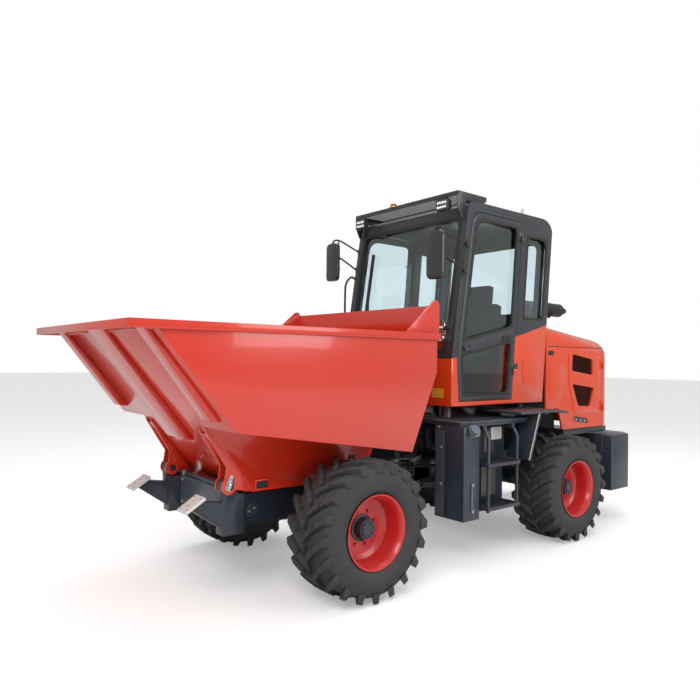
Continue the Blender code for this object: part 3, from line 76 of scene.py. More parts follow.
# finishes: colour, dust colour, how much dust, roughness and its spread, grain size and depth,
# then the shader's own coat and metal
finishes = {
    "skipRed": dict(color=(0.62, 0.026, 0.008), dust=(0.30, 0.16, 0.10), amount=0.10, roughness=0.24,
                    spread=0.10,
                    grain=70, depth=0.0006, coat=0.55, metal=0.0),
    "bodyOrange": dict(color=(0.72, 0.052, 0.006), dust=(0.32, 0.18, 0.10), amount=0.08, roughness=0.22,
                       spread=0.08,
                       grain=80, depth=0.0005, coat=0.60, metal=0.0),
    "rimRed": dict(color=(0.56, 0.012, 0.014), dust=(0.25, 0.15, 0.10), amount=0.12, roughness=0.30,
                   spread=0.12,
                   grain=90, depth=0.0006, coat=0.35, metal=0.0),
    "chassisNavy": dict(color=(0.010, 0.018, 0.034), dust=(0.12, 0.11, 0.10), amount=0.30, roughness=0.34,
                        spread=0.18,
                        grain=60, depth=0.0010, coat=0.25, metal=0.0),
    "cabGrey": dict(color=(0.020, 0.024, 0.030), dust=(0.13, 0.13, 0.12), amount=0.20, roughness=0.36,
                    spread=0.14,
                    grain=110, depth=0.0008, coat=0.20, metal=0.0),
    "blackPlastic": dict(color=(0.014, 0.014, 0.016), dust=(0.12, 0.12, 0.11), amount=0.18, roughness=0.48,
                         spread=0.12,
                         grain=220, depth=0.0010, coat=0.0, metal=0.0),
    "darkRubber": dict(color=(0.022, 0.023, 0.026), dust=(0.14, 0.13, 0.12), amount=0.45, roughness=0.72,
                       spread=0.20,
                       grain=160, depth=0.0015, coat=0.0, metal=0.0),
    "engineGrey": dict(color=(0.060, 0.063, 0.068), dust=(0.15, 0.12, 0.09), amount=0.35, roughness=0.52,
                       spread=0.20,
                       grain=45, depth=0.0020, coat=0.0, metal=0.5),
    "steel": dict(color=(0.56, 0.57, 0.58), dust=(0.30, 0.28, 0.26), amount=0.06, roughness=0.20,
                  spread=0.10,
                  grain=200, depth=0.0003, coat=0.0, metal=1.0),
    "zinc": dict(color=(0.52, 0.50, 0.46), dust=(0.25, 0.22, 0.18), amount=0.15, roughness=0.34,
                 spread=0.18,
                 grain=150, depth=0.0006, coat=0.0, metal=1.0),
    "whitePaint": dict(color=(0.72, 0.72, 0.70), dust=(0.30, 0.26, 0.22), amount=0.20, roughness=0.38,
                       spread=0.10,
                       grain=90, depth=0.0006, coat=0.10, metal=0.0),
    "plateYellow": dict(color=(0.74, 0.42, 0.02), dust=(0.30, 0.24, 0.14), amount=0.08, roughness=0.35,
                        spread=0.06,
                        grain=90, depth=0.0003, coat=0.10, metal=0.0),
    "seatCloth": dict(color=(0.030, 0.034, 0.038), dust=(0.10, 0.10, 0.10), amount=0.20, roughness=0.86,
                      spread=0.10,
                      grain=420, depth=0.0025, coat=0.0, metal=0.0),
    "sealRubber": dict(color=(0.010, 0.011, 0.013), dust=(0.10, 0.10, 0.10), amount=0.15, roughness=0.55,
                       spread=0.10,
                       grain=150, depth=0.0006, coat=0.0, metal=0.0),
    "mirrorBlack": dict(color=(0.022, 0.022, 0.024), dust=(0.12, 0.12, 0.12), amount=0.12, roughness=0.28,
                        spread=0.10,
                        grain=120, depth=0.0006, coat=0.30, metal=0.0),
    "mirrorSilver": dict(color=(0.86, 0.87, 0.88), dust=(0.30, 0.30, 0.30), amount=0.04, roughness=0.04,
                         spread=0.02,
                         grain=40, depth=0.0001, coat=0.0, metal=1.0),
    "lampSilver": dict(color=(0.78, 0.77, 0.76), dust=(0.30, 0.30, 0.30), amount=0.04, roughness=0.14,
                       spread=0.05,
                       grain=90, depth=0.0002, coat=0.0, metal=1.0),
    "slatePaint": dict(color=(0.045, 0.058, 0.078), dust=(0.20, 0.20, 0.20), amount=0.20, roughness=0.32,
                       spread=0.12,
                       grain=60, depth=0.0008, coat=0.15, metal=0.0),
    "toolboxGrey": dict(color=(0.060, 0.054, 0.052), dust=(0.18, 0.16, 0.14), amount=0.20, roughness=0.38,
                        spread=0.10,
                        grain=70, depth=0.0006, coat=0.10, metal=0.0),
    "capGrey": dict(color=(0.10, 0.13, 0.18), dust=(0.22, 0.22, 0.22), amount=0.15, roughness=0.35,
                    spread=0.10,
                    grain=120, depth=0.0006, coat=0.15, metal=0.0),
    "gaugePane": dict(color=(0.16, 0.17, 0.17), dust=(0.20, 0.20, 0.20), amount=0.10, roughness=0.12,
                      spread=0.05,
                      grain=40, depth=0.0002, coat=0.40, metal=0.0),
    "grilleBlack": dict(color=(0.020, 0.018, 0.016), dust=(0.16, 0.12, 0.08), amount=0.30, roughness=0.40,
                        spread=0.12,
                        grain=160, depth=0.0006, coat=0.0, metal=0.2),
    "heatBlack": dict(color=(0.016, 0.015, 0.015), dust=(0.12, 0.08, 0.05), amount=0.35, roughness=0.58,
                      spread=0.18,
                      grain=140, depth=0.0012, coat=0.0, metal=0.2),
}


def newGroup(name, inputs, outputs):
    group = bpy.data.node_groups.new(name, "ShaderNodeTree")
    for label, kind, value in inputs:
        socket = group.interface.new_socket(label, in_out="INPUT", socket_type=kind)
        socket.default_value = value
    for label, kind in outputs:
        group.interface.new_socket(label, in_out="OUTPUT", socket_type=kind)
    return group, group.nodes.new("NodeGroupInput"), group.nodes.new("NodeGroupOutput")


def addNode(tree, kind, **settings):
    node = tree.nodes.new(kind)
    for label, value in settings.items():
        setattr(node, label, value)
    return node


def addNoise(tree, vector, scale, detail=3.0, roughness=0.55):
    noise = addNode(tree, "ShaderNodeTexNoise")
    noise.inputs["Detail"].default_value = detail
    noise.inputs["Roughness"].default_value = roughness
    tree.links.new(vector, noise.inputs["Vector"])
    if isinstance(scale, (int, float)):
        noise.inputs["Scale"].default_value = scale
    else:
        tree.links.new(scale, noise.inputs["Scale"])
    return noise.outputs["Fac"]


def addMath(tree, operation, first, second, clamp=False):
    node = addNode(tree, "ShaderNodeMath", operation=operation, use_clamp=clamp)
    for socket, value in zip(node.inputs, (first, second)):
        if isinstance(value, (int, float)):
            socket.default_value = value
        else:
            tree.links.new(value, socket)
    return node.outputs[0]


def addMix(tree, factor, first, second):
    node = addNode(tree, "ShaderNodeMix", data_type="RGBA")
    for socket, value in ((node.inputs["Factor"], factor), (node.inputs["A"], first),
                          (node.inputs["B"], second)):
        if isinstance(value, (int, float)):
            socket.default_value = value
        elif isinstance(value, tuple):
            socket.default_value = value
        else:
            tree.links.new(value, socket)
    return node.outputs["Result"]


# dust lies on faces that look up, in soft patches, and the colour drifts a little
def buildDustGroup():
    group, source, sink = newGroup("dustFall", [
        ("Color", "NodeSocketColor", (0.5, 0.5, 0.5, 1)), ("Dust", "NodeSocketColor", (0.3, 0.25, 0.2, 1)),
        ("Amount", "NodeSocketFloat", 0.2)], [("Color", "NodeSocketColor"), ("Mask", "NodeSocketFloat")])
    place = addNode(group, "ShaderNodeTexCoord").outputs["Object"]
    patches = addNoise(group, place, 2.2, 4.0, 0.6)
    specks = addNoise(group, place, 38.0, 2.0, 0.7)
    normal = addNode(group, "ShaderNodeNewGeometry").outputs["Normal"]
    split = addNode(group, "ShaderNodeSeparateXYZ")
    group.links.new(normal, split.inputs[0])
    upward = addMath(group, "MULTIPLY_ADD", split.outputs["Z"], 0.55, True)
    upward.node.inputs[2].default_value = 0.35
    patchy = addMath(group, "MULTIPLY", patches, specks)
    mask = addMath(group, "MULTIPLY", addMath(group, "MULTIPLY", patchy, upward), source.outputs["Amount"])
    mask = addMath(group, "MULTIPLY", mask, 3.2, True)
    drift = addNoise(group, place, 0.9, 2.0)
    dark = addMix(group, 0.10, source.outputs["Color"], (0.0, 0.0, 0.0, 1))
    base = addMix(group, drift, source.outputs["Color"], dark)
    group.links.new(addMix(group, mask, base, source.outputs["Dust"]), sink.inputs["Color"])
    group.links.new(mask, sink.inputs["Mask"])
    return group


# roughness that wanders, and rises with the dust
def buildSheenGroup():
    group, source, sink = newGroup("sheenDrift", [
        ("Roughness", "NodeSocketFloat", 0.3), ("Spread", "NodeSocketFloat", 0.1),
        ("Mask", "NodeSocketFloat", 0.0)],
        [("Roughness", "NodeSocketFloat")])
    place = addNode(group, "ShaderNodeTexCoord").outputs["Object"]
    drift = addMath(group, "SUBTRACT", addNoise(group, place, 5.0, 4.0, 0.65), 0.5)
    spread = addMath(group, "MULTIPLY", drift, source.outputs["Spread"])
    dusty = addMath(group, "MULTIPLY", source.outputs["Mask"], 0.6)
    total = addMath(group, "ADD", addMath(group, "ADD", source.outputs["Roughness"], spread), dusty, True)
    group.links.new(total, sink.inputs["Roughness"])
    return group


# fine relief of a surface, such as sprayed paint, moulded plastic or cloth
def buildGrainGroup():
    group, source, sink = newGroup("surfaceGrain", [
        ("Scale", "NodeSocketFloat", 80.0), ("Depth", "NodeSocketFloat", 0.001)],
        [("Normal", "NodeSocketVector")])
    place = addNode(group, "ShaderNodeTexCoord").outputs["Object"]
    fine = addNoise(group, place, source.outputs["Scale"], 2.0, 0.5)
    bump = addNode(group, "ShaderNodeBump")
    bump.inputs["Strength"].default_value = 1.0
    group.links.new(source.outputs["Depth"], bump.inputs["Distance"])
    group.links.new(fine, bump.inputs["Height"])
    group.links.new(bump.outputs["Normal"], sink.inputs["Normal"])
    return group


groups = {"dust": buildDustGroup(), "sheen": buildSheenGroup(), "grain": buildGrainGroup()}


def placeGroup(tree, name, **values):
    node = addNode(tree, "ShaderNodeGroup", node_tree=groups[name])
    for label, value in values.items():
        node.inputs[label.capitalize()].default_value = value
    return node


def buildFinish(name, spec):
    material = bpy.data.materials.new(name)
    material.use_nodes = True
    tree = material.node_tree
    shader = tree.nodes["Principled BSDF"]
    dust = placeGroup(tree, "dust", color=(*spec["color"], 1), dust=(*spec["dust"], 1),
                      amount=spec["amount"])
    sheen = placeGroup(tree, "sheen", roughness=spec["roughness"], spread=spec["spread"])
    grain = placeGroup(tree, "grain", scale=spec["grain"], depth=spec["depth"])
    tree.links.new(dust.outputs["Color"], shader.inputs["Base Color"])
    tree.links.new(dust.outputs["Mask"], sheen.inputs["Mask"])
    tree.links.new(sheen.outputs["Roughness"], shader.inputs["Roughness"])
    tree.links.new(grain.outputs["Normal"], shader.inputs["Normal"])
    shader.inputs["Metallic"].default_value = spec["metal"]
    shader.inputs["Coat Weight"].default_value = spec["coat"]
    shader.inputs["Coat Roughness"].default_value = 0.06
    return material


def buildGlass(name, color, roughness):
    material = bpy.data.materials.new(name)
    material.use_nodes = True
    shader = material.node_tree.nodes["Principled BSDF"]
    shader.inputs["Base Color"].default_value = (*color, 1)
    shader.inputs["Roughness"].default_value = roughness
    shader.inputs["IOR"].default_value = 1.45
    shader.inputs["Transmission Weight"].default_value = 1.0
    return material


materials = {name: buildFinish(name, spec) for name, spec in finishes.items()}
materials["cabGlass"] = buildGlass("cabGlass", (0.80, 0.90, 0.92), 0.02)
materials["amberLens"] = buildGlass("amberLens", (0.95, 0.36, 0.02), 0.12)
materials["lampGlass"] = buildGlass("lampGlass", (0.92, 0.95, 0.97), 0.05)
print("materials built")


def linkObject(name, data):
    obj = bpy.data.objects.new(name, data)
    scene.collection.objects.link(obj)
    return obj


def fromBmesh(name, bm, merge=0.0):
    if merge:
        bmesh.ops.remove_doubles(bm, verts=bm.verts, dist=merge)
    bmesh.ops.recalc_face_normals(bm, faces=bm.faces)
    mesh = bpy.data.meshes.new(name)
    bm.to_mesh(mesh)
    bm.free()
    return linkObject(name, mesh)


def bake(obj):
    graph = bpy.context.evaluated_depsgraph_get()
    mesh = bpy.data.meshes.new_from_object(obj.evaluated_get(graph))
    obj.modifiers.clear()
    obj.data = mesh
    return obj


def bevelled(obj, width, segments=2, angle=30):
    bevel = obj.modifiers.new("edges", "BEVEL")
    bevel.width = width
    bevel.segments = segments
    bevel.limit_method = "ANGLE"
    bevel.angle_limit = radians(angle)
    return bake(obj)


def smoothed(obj, angle=40):
    obj.data.shade_smooth()
    obj.data.set_sharp_from_angle(angle=radians(angle))
    return obj


def finished(obj, body, slot, material, *replaced):
    obj.data.materials.clear()
    obj.data.materials.append(materials[material])
    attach(obj, body)
    if replaced:
        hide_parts(*replaced)
    return obj


def joined(name, objects):
    bm = bmesh.new()
    for obj in objects:
        bm.from_mesh(obj.data)
        bpy.data.objects.remove(obj)
    mesh = bpy.data.meshes.new(name)
    bm.to_mesh(mesh)
    bm.free()
    return linkObject(name, mesh)


def boxObject(low, high, bevel=0.0, segments=2):
    bm = bmesh.new()
    bmesh.ops.create_cube(bm, size=1)
    for vert in bm.verts:
        vert.co = Vector([low[k] if vert.co[k] < 0 else high[k] for k in range(3)])
    obj = fromBmesh("box", bm)
    return bevelled(obj, bevel, segments) if bevel else obj


def tubeObject(points, radius, sidesOfTube=12, bend=0.0, name="tube"):
    # a round tube through the points, its corners rounded by the bend radius
    route = [Vector(point) for point in points]
    if bend:
        rounded = [route[0]]
        for before, corner, after in zip(route, route[1:], route[2:]):
            reachIn = min(bend, (corner - before).length * 0.45)
            reachOut = min(bend, (after - corner).length * 0.45)
            start = corner + (before - corner).normalized() * reachIn
            end = corner + (after - corner).normalized() * reachOut
            for step in range(7):
                t = step / 6
                rounded.append(start * (1 - t) ** 2 + corner * 2 * t * (1 - t) + end * t ** 2)
        route = rounded + [route[-1]]
    bm = bmesh.new()
    rings = []
    wide = None
    for index, point in enumerate(route):
        ahead = route[min(index + 1, len(route) - 1)]
        behind = route[max(index - 1, 0)]
        along = (ahead - behind).normalized()
        if wide is None:
            wide = along.orthogonal().normalized()
        wide = (wide - along * wide.dot(along)).normalized()
        high = along.cross(wide)
        rings.append([bm.verts.new(point + (wide * cos(2 * pi * k / sidesOfTube) + high
                                            * sin(2 * pi * k / sidesOfTube))
                                   * radius) for k in range(sidesOfTube)])
    for first, second in zip(rings, rings[1:]):
        for k in range(sidesOfTube):
            bm.faces.new((first[k - 1], first[k], second[k], second[k - 1]))
    bm.faces.new(rings[0])
    bm.faces.new(rings[-1])
    return smoothed(fromBmesh(name, bm), 50)


def latheObject(name, profile, centre, around, axis="X"):
    # turn (distance along the axis, radius) pairs about the axis through the centre
    bm = bmesh.new()
    rings = []
    for along, radius in profile:
        count = around if radius > 1e-5 else 1
        ring = []
        for k in range(count):
            a, b = radius * cos(2 * pi * k / around), radius * sin(2 * pi * k / around)
            offset = {"X": (along, a, b), "Y": (a, along, b), "Z": (a, b, along)}[axis]
            ring.append(bm.verts.new(Vector(centre) + Vector(offset)))
        rings.append(ring)
    for first, second in zip(rings, rings[1:]):
        for k in range(around):
            corners = [first[k % len(first)], first[(k + 1) % len(first)], second[(k + 1) % len(second)],
                       second[k % len(second)]]
            corners = list(dict.fromkeys(corners))
            if len(corners) > 2:
                bm.faces.new(corners)
    return smoothed(fromBmesh(name, bm), 35)


# a copy of a CAD node with its facets merged and its edges broken, which then stands for it
def softened(node, width, slot, material, segments=2, angle=30, name=None):
    bm = bmesh.new()
    bm.from_mesh(nodes[node].data)
    for layer in list(bm.loops.layers.float_vector.values()):
        bm.loops.layers.float_vector.remove(layer)
    bmesh.ops.remove_doubles(bm, verts=bm.verts, dist=2e-5)
    bmesh.ops.dissolve_limit(bm, angle_limit=radians(0.5), verts=bm.verts, edges=bm.edges)
    mesh = bpy.data.meshes.new(name or node + "_panel")
    bm.to_mesh(mesh)
    bm.free()
    obj = linkObject(name or node + "_panel", mesh)
    if width:
        bevelled(obj, width, segments, angle)
    smoothed(obj, 38)
    return finished(obj, body_of(nodes[node])[0], slot, material, node)


panels = {
    "skip_red": ("skipRed", 0.0035,
                 "skip_shell skip_rim skip_back_board skip_left_ear skip_right_ear skip_cylinder_lugs"),
    "body_orange": ("bodyOrange", 0.006, "cab_body hood_top hood_rear_cap left_hood_door right_hood_door"),
    "chassis_navy": ("chassisNavy", 0.003,
                     "front_frame rear_frame cab_deck left_tank right_tank left_steps right_steps "
                     "left_fender right_fender front_axle rear_axle counterweight tip_barrel left_steer_barrel "
                     "right_steer_barrel"),
    "cab_grey": ("cabGrey", 0.004, "left_door right_door"),
    "black_plastic": ("blackPlastic", 0.002, "steering_column"),
    "engine_grey": ("engineGrey", 0.004, "engine_block"),
    "seat_black": ("seatCloth", 0.02, "seat"),
    "steel": ("steel", 0.001, "tip_rod left_steer_rod right_steer_rod"),
}
for slotName, (materialName, width, names) in panels.items():
    for nodeName in names.split():
        softened(nodeName, width, slotName, materialName)
print("panels softened")

for nodeName in "windscreen rear_window left_quarter_window right_quarter_window left_door_glass right_door_glass".split():
    nodes[nodeName].data.materials.clear()
    nodes[nodeName].data.materials.append(materials["cabGlass"])


# Geometry Nodes tree that sets copies of a shape round the X axis
def buildRingTree():
    tree = bpy.data.node_groups.new("ringOfCopies", "GeometryNodeTree")
    face = tree.interface
    for label, kind, value in (("Shape", "NodeSocketGeometry", None), ("Count", "NodeSocketInt", 8),
                               ("Start Angle", "NodeSocketFloat", 0.0),
                               ("Finish", "NodeSocketMaterial", None)):
        socket = face.new_socket(label, in_out="INPUT", socket_type=kind)
        if value is not None:
            socket.default_value = value
    face.new_socket("Geometry", in_out="OUTPUT", socket_type="NodeSocketGeometry")
    source, sink = tree.nodes.new("NodeGroupInput"), tree.nodes.new("NodeGroupOutput")
    points = addNode(tree, "GeometryNodePoints")
    tree.links.new(source.outputs["Count"], points.inputs["Count"])
    index = addNode(tree, "GeometryNodeInputIndex").outputs[0]
    turn = addMath(tree, "DIVIDE", index, source.outputs["Count"])
    angle = addMath(tree, "ADD", addMath(tree, "MULTIPLY", turn, 2 * pi), source.outputs["Start Angle"])
    spin = addNode(tree, "ShaderNodeCombineXYZ")
    tree.links.new(angle, spin.inputs["X"])
    copies = addNode(tree, "GeometryNodeInstanceOnPoints")
    tree.links.new(points.outputs[0], copies.inputs["Points"])
    tree.links.new(source.outputs["Shape"], copies.inputs["Instance"])
    tree.links.new(spin.outputs[0], copies.inputs["Rotation"])
    real = addNode(tree, "GeometryNodeRealizeInstances")
    tree.links.new(copies.outputs[0], real.inputs[0])
    paint = addNode(tree, "GeometryNodeSetMaterial")
    tree.links.new(real.outputs[0], paint.inputs["Geometry"])
    tree.links.new(source.outputs["Finish"], paint.inputs["Material"])
    tree.links.new(paint.outputs[0], sink.inputs[0])
    return tree


ringTree = buildRingTree()


def setInputs(modifier, tree, **values):
    for item in tree.interface.items_tree:
        if item.item_type == "SOCKET" and item.in_out == "INPUT" and item.name.replace(" ", "") in values:
            modifier[item.identifier] = values[item.name.replace(" ", "")]


# copies of the object round the X axis through the centre, as one mesh
def ringOf(obj, count, startAngle, material, centre):
    modifier = obj.modifiers.new("ring", "NODES")
    modifier.node_group = ringTree
    setInputs(modifier, ringTree, Count=count, StartAngle=startAngle, Finish=materials[material])
    bake(obj)
    obj.data.transform(Matrix.Translation(centre))
    return obj


tyre = dict(outer=0.475, base=0.438, half=0.200, bead=0.252, lugs=20, sweep=0.34, lugHalf=0.017,
            shoulderHalf=0.024,
            foot=0.395, around=120)


def lugBlock(side, startShare, endShare, turn):
    # one block of a lug, a bent bar that runs from the middle of the tread out and over the shoulder
    spec = tyre
    bm = bmesh.new()
    rings = []
    steps = 6
    for step in range(steps + 1):
        share = startShare + (endShare - startShare) * step / steps
        x = side * (0.006 + (spec["half"] - 0.010) * share)
        angle = turn - spec["sweep"] * share ** 0.85
        halfTop = spec["lugHalf"] + (spec["shoulderHalf"] - spec["lugHalf"]) * share
        halfBase = halfTop + 0.007
        drop = 0.010 * max(share - 0.55, 0) / 0.45
        top = spec["outer"] - 0.0005 - drop
        base = spec["base"] - 0.008 - 0.030 * max(share - 0.75, 0) / 0.25
        ring = []
        for radius, half in ((base, -halfBase), (top, -halfTop), (top, halfTop), (base, halfBase)):
            a = angle + half / radius
            ring.append(bm.verts.new((x, radius * cos(a), radius * sin(a))))
        rings.append(ring)
    if endShare > 0.99:
        # the shoulder's outer end slopes down the sidewall
        angle = turn - spec["sweep"] * 1.02
        ring = []
        for radius, half in ((spec["foot"], -0.024), (spec["foot"] + 0.012, -0.018),
                             (spec["foot"] + 0.012, 0.018),
                             (spec["foot"], 0.024)):
            a = angle + half / radius
            ring.append(bm.verts.new((side * (spec["half"] - 0.001), radius * cos(a), radius * sin(a))))
        rings.append(ring)
    for first, second in zip(rings, rings[1:]):
        for k in range(4):
            bm.faces.new((first[k - 1], first[k], second[k], second[k - 1]))
    bm.faces.new(rings[0])
    bm.faces.new(rings[-1])
    return bevelled(fromBmesh("lug", bm), 0.0025, 1, 35)


def makeTyre(name, side, body):
    spec = tyre
    low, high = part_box(name)
    centre = (low + high) / 2
    base, bead = spec["base"], spec["bead"]
    # sidewall and tread under the lugs, from the bead out: distance from the middle, radius
    wall = [(0.168, 0.2283), (0.172, bead + 0.004), (0.184, bead + 0.012), (0.193, bead + 0.035),
            (0.1965, bead + 0.060),
            (0.1975, 0.335), (0.1965, 0.362), (0.1945, 0.366), (0.193, 0.385), (0.187, 0.405),
            (0.176, 0.422),
            (0.155, base - 0.006), (0.120, base - 0.001), (0.060, base), (0.0, base)]
    profile = [(-x, radius) for x, radius in wall] + [(x, radius) for x, radius in reversed(wall[:-1])]
    carcass = latheObject(name + "_carcass", profile + [profile[0]], centre, spec["around"])
    bm = bmesh.new()
    bm.from_mesh(carcass.data)
    bmesh.ops.remove_doubles(bm, verts=bm.verts, dist=1e-5)
    bmesh.ops.recalc_face_normals(bm, faces=bm.faces)
    bm.to_mesh(carcass.data)
    bm.free()
    carcass.data.shade_smooth()
    parts = [carcass]
    step = 2 * pi / spec["lugs"]
    for lugSide in (1, -1):
        stagger = step / 2 if lugSide < 0 else 0.0
        blocks = [lugBlock(lugSide, 0.0, 0.42, stagger), lugBlock(lugSide, 0.48, 1.0, stagger)]
        parts.append(ringOf(joined("lugPair", blocks), spec["lugs"], 0.0, "darkRubber", centre))
    tread = joined(name + "_lugged", parts)
    smoothed(tread, 35)
    return finished(tread, body, "tyre_rubber", "darkRubber", name)


rim = dict(flange=0.252, barrel=0.228, half=0.190, dishX=0.016, hubX=0.1045, hub=0.070, boltCircle=0.052,
           bolts=9,
           around=96)


def boltHead(radius, height, x):
    # hexagonal head with a chamfered top, standing along X
    return latheObject("bolt",
                       [(x, radius * 1.35), (x + height * 0.2, radius * 1.35), (x + height * 0.2, radius),
                                (x + height * 0.9, radius), (x + height, radius * 0.86), (x + height, 0)],
                                (0, 0, 0), 6)


def makeRim(name, side, body):
    spec = rim
    low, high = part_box(name)
    centre = (low + high) / 2
    half, flange, barrel = spec["half"], spec["flange"], spec["barrel"]
    outer = [(half - 0.060, barrel - 0.012), (half - 0.030, barrel - 0.004), (half - 0.014, barrel + 0.006),
             (half - 0.006, flange - 0.012), (half - 0.004, flange - 0.004), (half, flange),
             (half - 0.004, flange),
             (half - 0.010, flange - 0.003), (half - 0.013, flange - 0.012), (half - 0.022, barrel + 0.002),
             (half - 0.024, barrel)]
    inner = [(-x, radius) for x, radius in reversed(outer)]
    disc = [(0.070, barrel - 0.014), (0.045, barrel - 0.020), (0.030, barrel - 0.040), (0.024, 0.160),
            (0.022, 0.145), (0.022, spec["hub"] + 0.002), (0.012, spec["hub"] + 0.002), (0.012, 0.150),
            (0.016, barrel - 0.045), (0.020, barrel - 0.022), (0.010, barrel - 0.013)]
    profile = ([(0.070, barrel - 0.012)] + outer + inner + [(0.010,
                                                             barrel - 0.012)] + list(reversed(disc))[1:])
    bm = bmesh.new()
    rings = [[bm.verts.new(centre + Vector((side * x, r * cos(2 * pi * k / spec["around"]),
                                             r
                                             * sin(2 * pi
                                                   * k / spec["around"])))) for k in range(spec["around"])]
             for x, r in profile]
    for first, second in zip(rings, rings[1:] + rings[:1]):
        for k in range(spec["around"]):
            bm.faces.new((first[k - 1], first[k], second[k], second[k - 1]))
    wheel = smoothed(fromBmesh(name + "_dish", bm, 1e-6), 30)
    finished(wheel, body, "rim_red", "rimRed", name)
    hub = [(-0.01, 0), (-0.01, 0.066), (0.022, 0.066), (0.022, 0.092), (0.030, 0.092), (0.034, 0.074),
           (0.070, spec["hub"]), (0.086, 0.066), (0.088, 0.058), (0.096, 0.058), (0.098, 0.030),
           (0.0985, 0)]
    pieces = [latheObject("hub", [(x * side, r) for x, r in hub], centre, 48)]
    bolt = boltHead(0.0072, 0.0075, 0)
    bolt.data.transform(Matrix.Translation((0.0965 if side > 0 else -0.0965, 0.044,
                                            0)) @ Matrix.Diagonal((side, 1, 1, 1)))
    pieces.append(ringOf(bolt, spec["bolts"], 0.1, "chassisNavy", centre))
    hubPiece = joined(name + "_hub", pieces)
    bm = bmesh.new()
    bm.from_mesh(hubPiece.data)
    bmesh.ops.recalc_face_normals(bm, faces=bm.faces)
    bm.to_mesh(hubPiece.data)
    bm.free()
    finished(smoothed(hubPiece, 30), body, "chassis_navy", "chassisNavy")
    nut = boltHead(0.011, 0.016, 0)
    nut.data.transform(Matrix.Translation((side * 0.0215, 0.118, 0)) @ Matrix.Diagonal((side, 1, 1, 1)))
    nuts = ringOf(nut, 8, 0.3, "rimRed", centre)
    nuts.name = name + "_nuts"
    bm = bmesh.new()
    bm.from_mesh(nuts.data)
    bmesh.ops.recalc_face_normals(bm, faces=bm.faces)
    bm.to_mesh(nuts.data)
    bm.free()
    finished(smoothed(nuts, 30), body, "rim_red", "rimRed")


for end in ("front", "rear"):
    for side, sideName in sides:
        stem = end + "_" + sideName
        makeTyre(stem + "_tyre", side, stem + "_wheel_body")
        makeRim(stem + "_rim", side, stem + "_wheel_body")
print("wheels made")


# where the cab's sloping edges lie, as the CAD has them
cab = dict(half=0.69, frontY=-0.045, beltZ=1.63, topZ=2.90, roofZ=2.95, screenLean=0.195, rearFootY=1.21,
           floorZ=1.245,
           rearLean=0.150, doorLowZ=1.285, doorTopZ=2.865, doorRearY=0.745, pillarLean=0.135,
           doorInset=0.070,
           border=0.048, rearRound=0.19, frontRound=0.11)


def screenY(z):
    return cab["frontY"] + cab["screenLean"] * max((z - cab["beltZ"]) / (cab["topZ"] - cab["beltZ"]), 0)


def rearY(z):
    return cab["rearFootY"] + cab["rearLean"] * (z - cab["floorZ"]) / (cab["topZ"] - cab["floorZ"])


def doorRearY(z):
    return cab["doorRearY"] + cab["pillarLean"] * (z - cab["doorLowZ"]) / (cab["doorTopZ"]
        - cab["doorLowZ"])


def mirroredRange(low, high, side):
    return (low, high) if side > 0 else (-high, -low)


def roundedOutline(points, radii, steps=7):
    # corners of a flat outline turned into bends; radii is one number or one for each corner
    if isinstance(radii, (int, float)):
        radii = [radii] * len(points)
    result = []
    for k, radius in enumerate(radii):
        before, corner, after = (Vector(points[(k + shift) % len(points)]) for shift in (-1, 0, 1))
        if radius <= 0:
            result.append(tuple(corner))
            continue
        start = corner + (before - corner).normalized() * min(radius, (before - corner).length * 0.48)
        end = corner + (after - corner).normalized() * min(radius, (after - corner).length * 0.48)
        for step in range(steps):
            t = step / (steps - 1)
            bend = start * (1 - t) ** 2 + corner * 2 * t * (1 - t) * 0.96 + (start + end) * t * (1
                - t) * 0.04 + end * t ** 2
            result.append(tuple(bend))
    return result


def offsetOutline(points, amount):
    # a flat outline moved inwards by the amount, or outwards where it is negative
    area = sum(a[0] * b[1] - b[0] * a[1] for a, b in zip(points, points[1:] + points[:1]))
    turn = 1 if area > 0 else -1
    moved = []
    for k in range(len(points)):
        before, corner, after = (Vector(points[(k + shift) % len(points)]) for shift in (-1, 0, 1))
        into, out = (corner - before).normalized(), (after - corner).normalized()
        inward = Vector((-into.y - out.y, into.x + out.x)) * turn
        reach = amount / max(1 + into.dot(out), 0.2)
        moved.append(tuple(corner + inward * reach))
    return moved


axisTurn = {"X": Matrix(((0, 0, 1, 0), (1, 0, 0, 0), (0, 1, 0, 0), (0, 0, 0, 1))),
            "Y": Matrix(((1, 0, 0, 0), (0, 0, -1, 0), (0, 1, 0, 0), (0, 0, 0, 1))), "Z": Matrix.Identity(4)}


def plateObject(outline, low, high, axis="X", edge=0.0, holes=(), name="plate"):
    # a flat plate with holes: its outline is (Y, Z) across X, (X, Z) across Y and (X, Y) across Z
    curve = bpy.data.curves.new(name, "CURVE")
    curve.dimensions = "2D"
    curve.fill_mode = "BOTH"
    curve.extrude = (high - low) / 2 - edge
    curve.bevel_depth = edge
    curve.bevel_resolution = 1
    curve.offset = -edge
    for loop in (outline, *holes):
        spline = curve.splines.new("POLY")
        spline.points.add(len(loop) - 1)
        for point, (a, b) in zip(spline.points, loop):
            point.co = (a, b, 0, 1)
        spline.use_cyclic_u = True
    maker = linkObject(name, curve)
    graph = bpy.context.evaluated_depsgraph_get()
    graph.update()
    mesh = bpy.data.meshes.new_from_object(maker.evaluated_get(graph))
    bpy.data.objects.remove(maker)
    bpy.data.curves.remove(curve)
    middle = (low + high) / 2
    shift = {"X": (middle, 0, 0), "Y": (0, middle, 0), "Z": (0, 0, middle)}[axis]
    mesh.transform(Matrix.Translation(shift) @ axisTurn[axis])
    bm = bmesh.new()
    bm.from_mesh(mesh)
    bpy.data.meshes.remove(mesh)
    return smoothed(fromBmesh(name, bm, 1e-5), 35)


def sheared(obj, lean):
    # move each point along Y by what lean gives for its height
    for vert in obj.data.vertices:
        vert.co.y += lean(vert.co.z)
    return obj


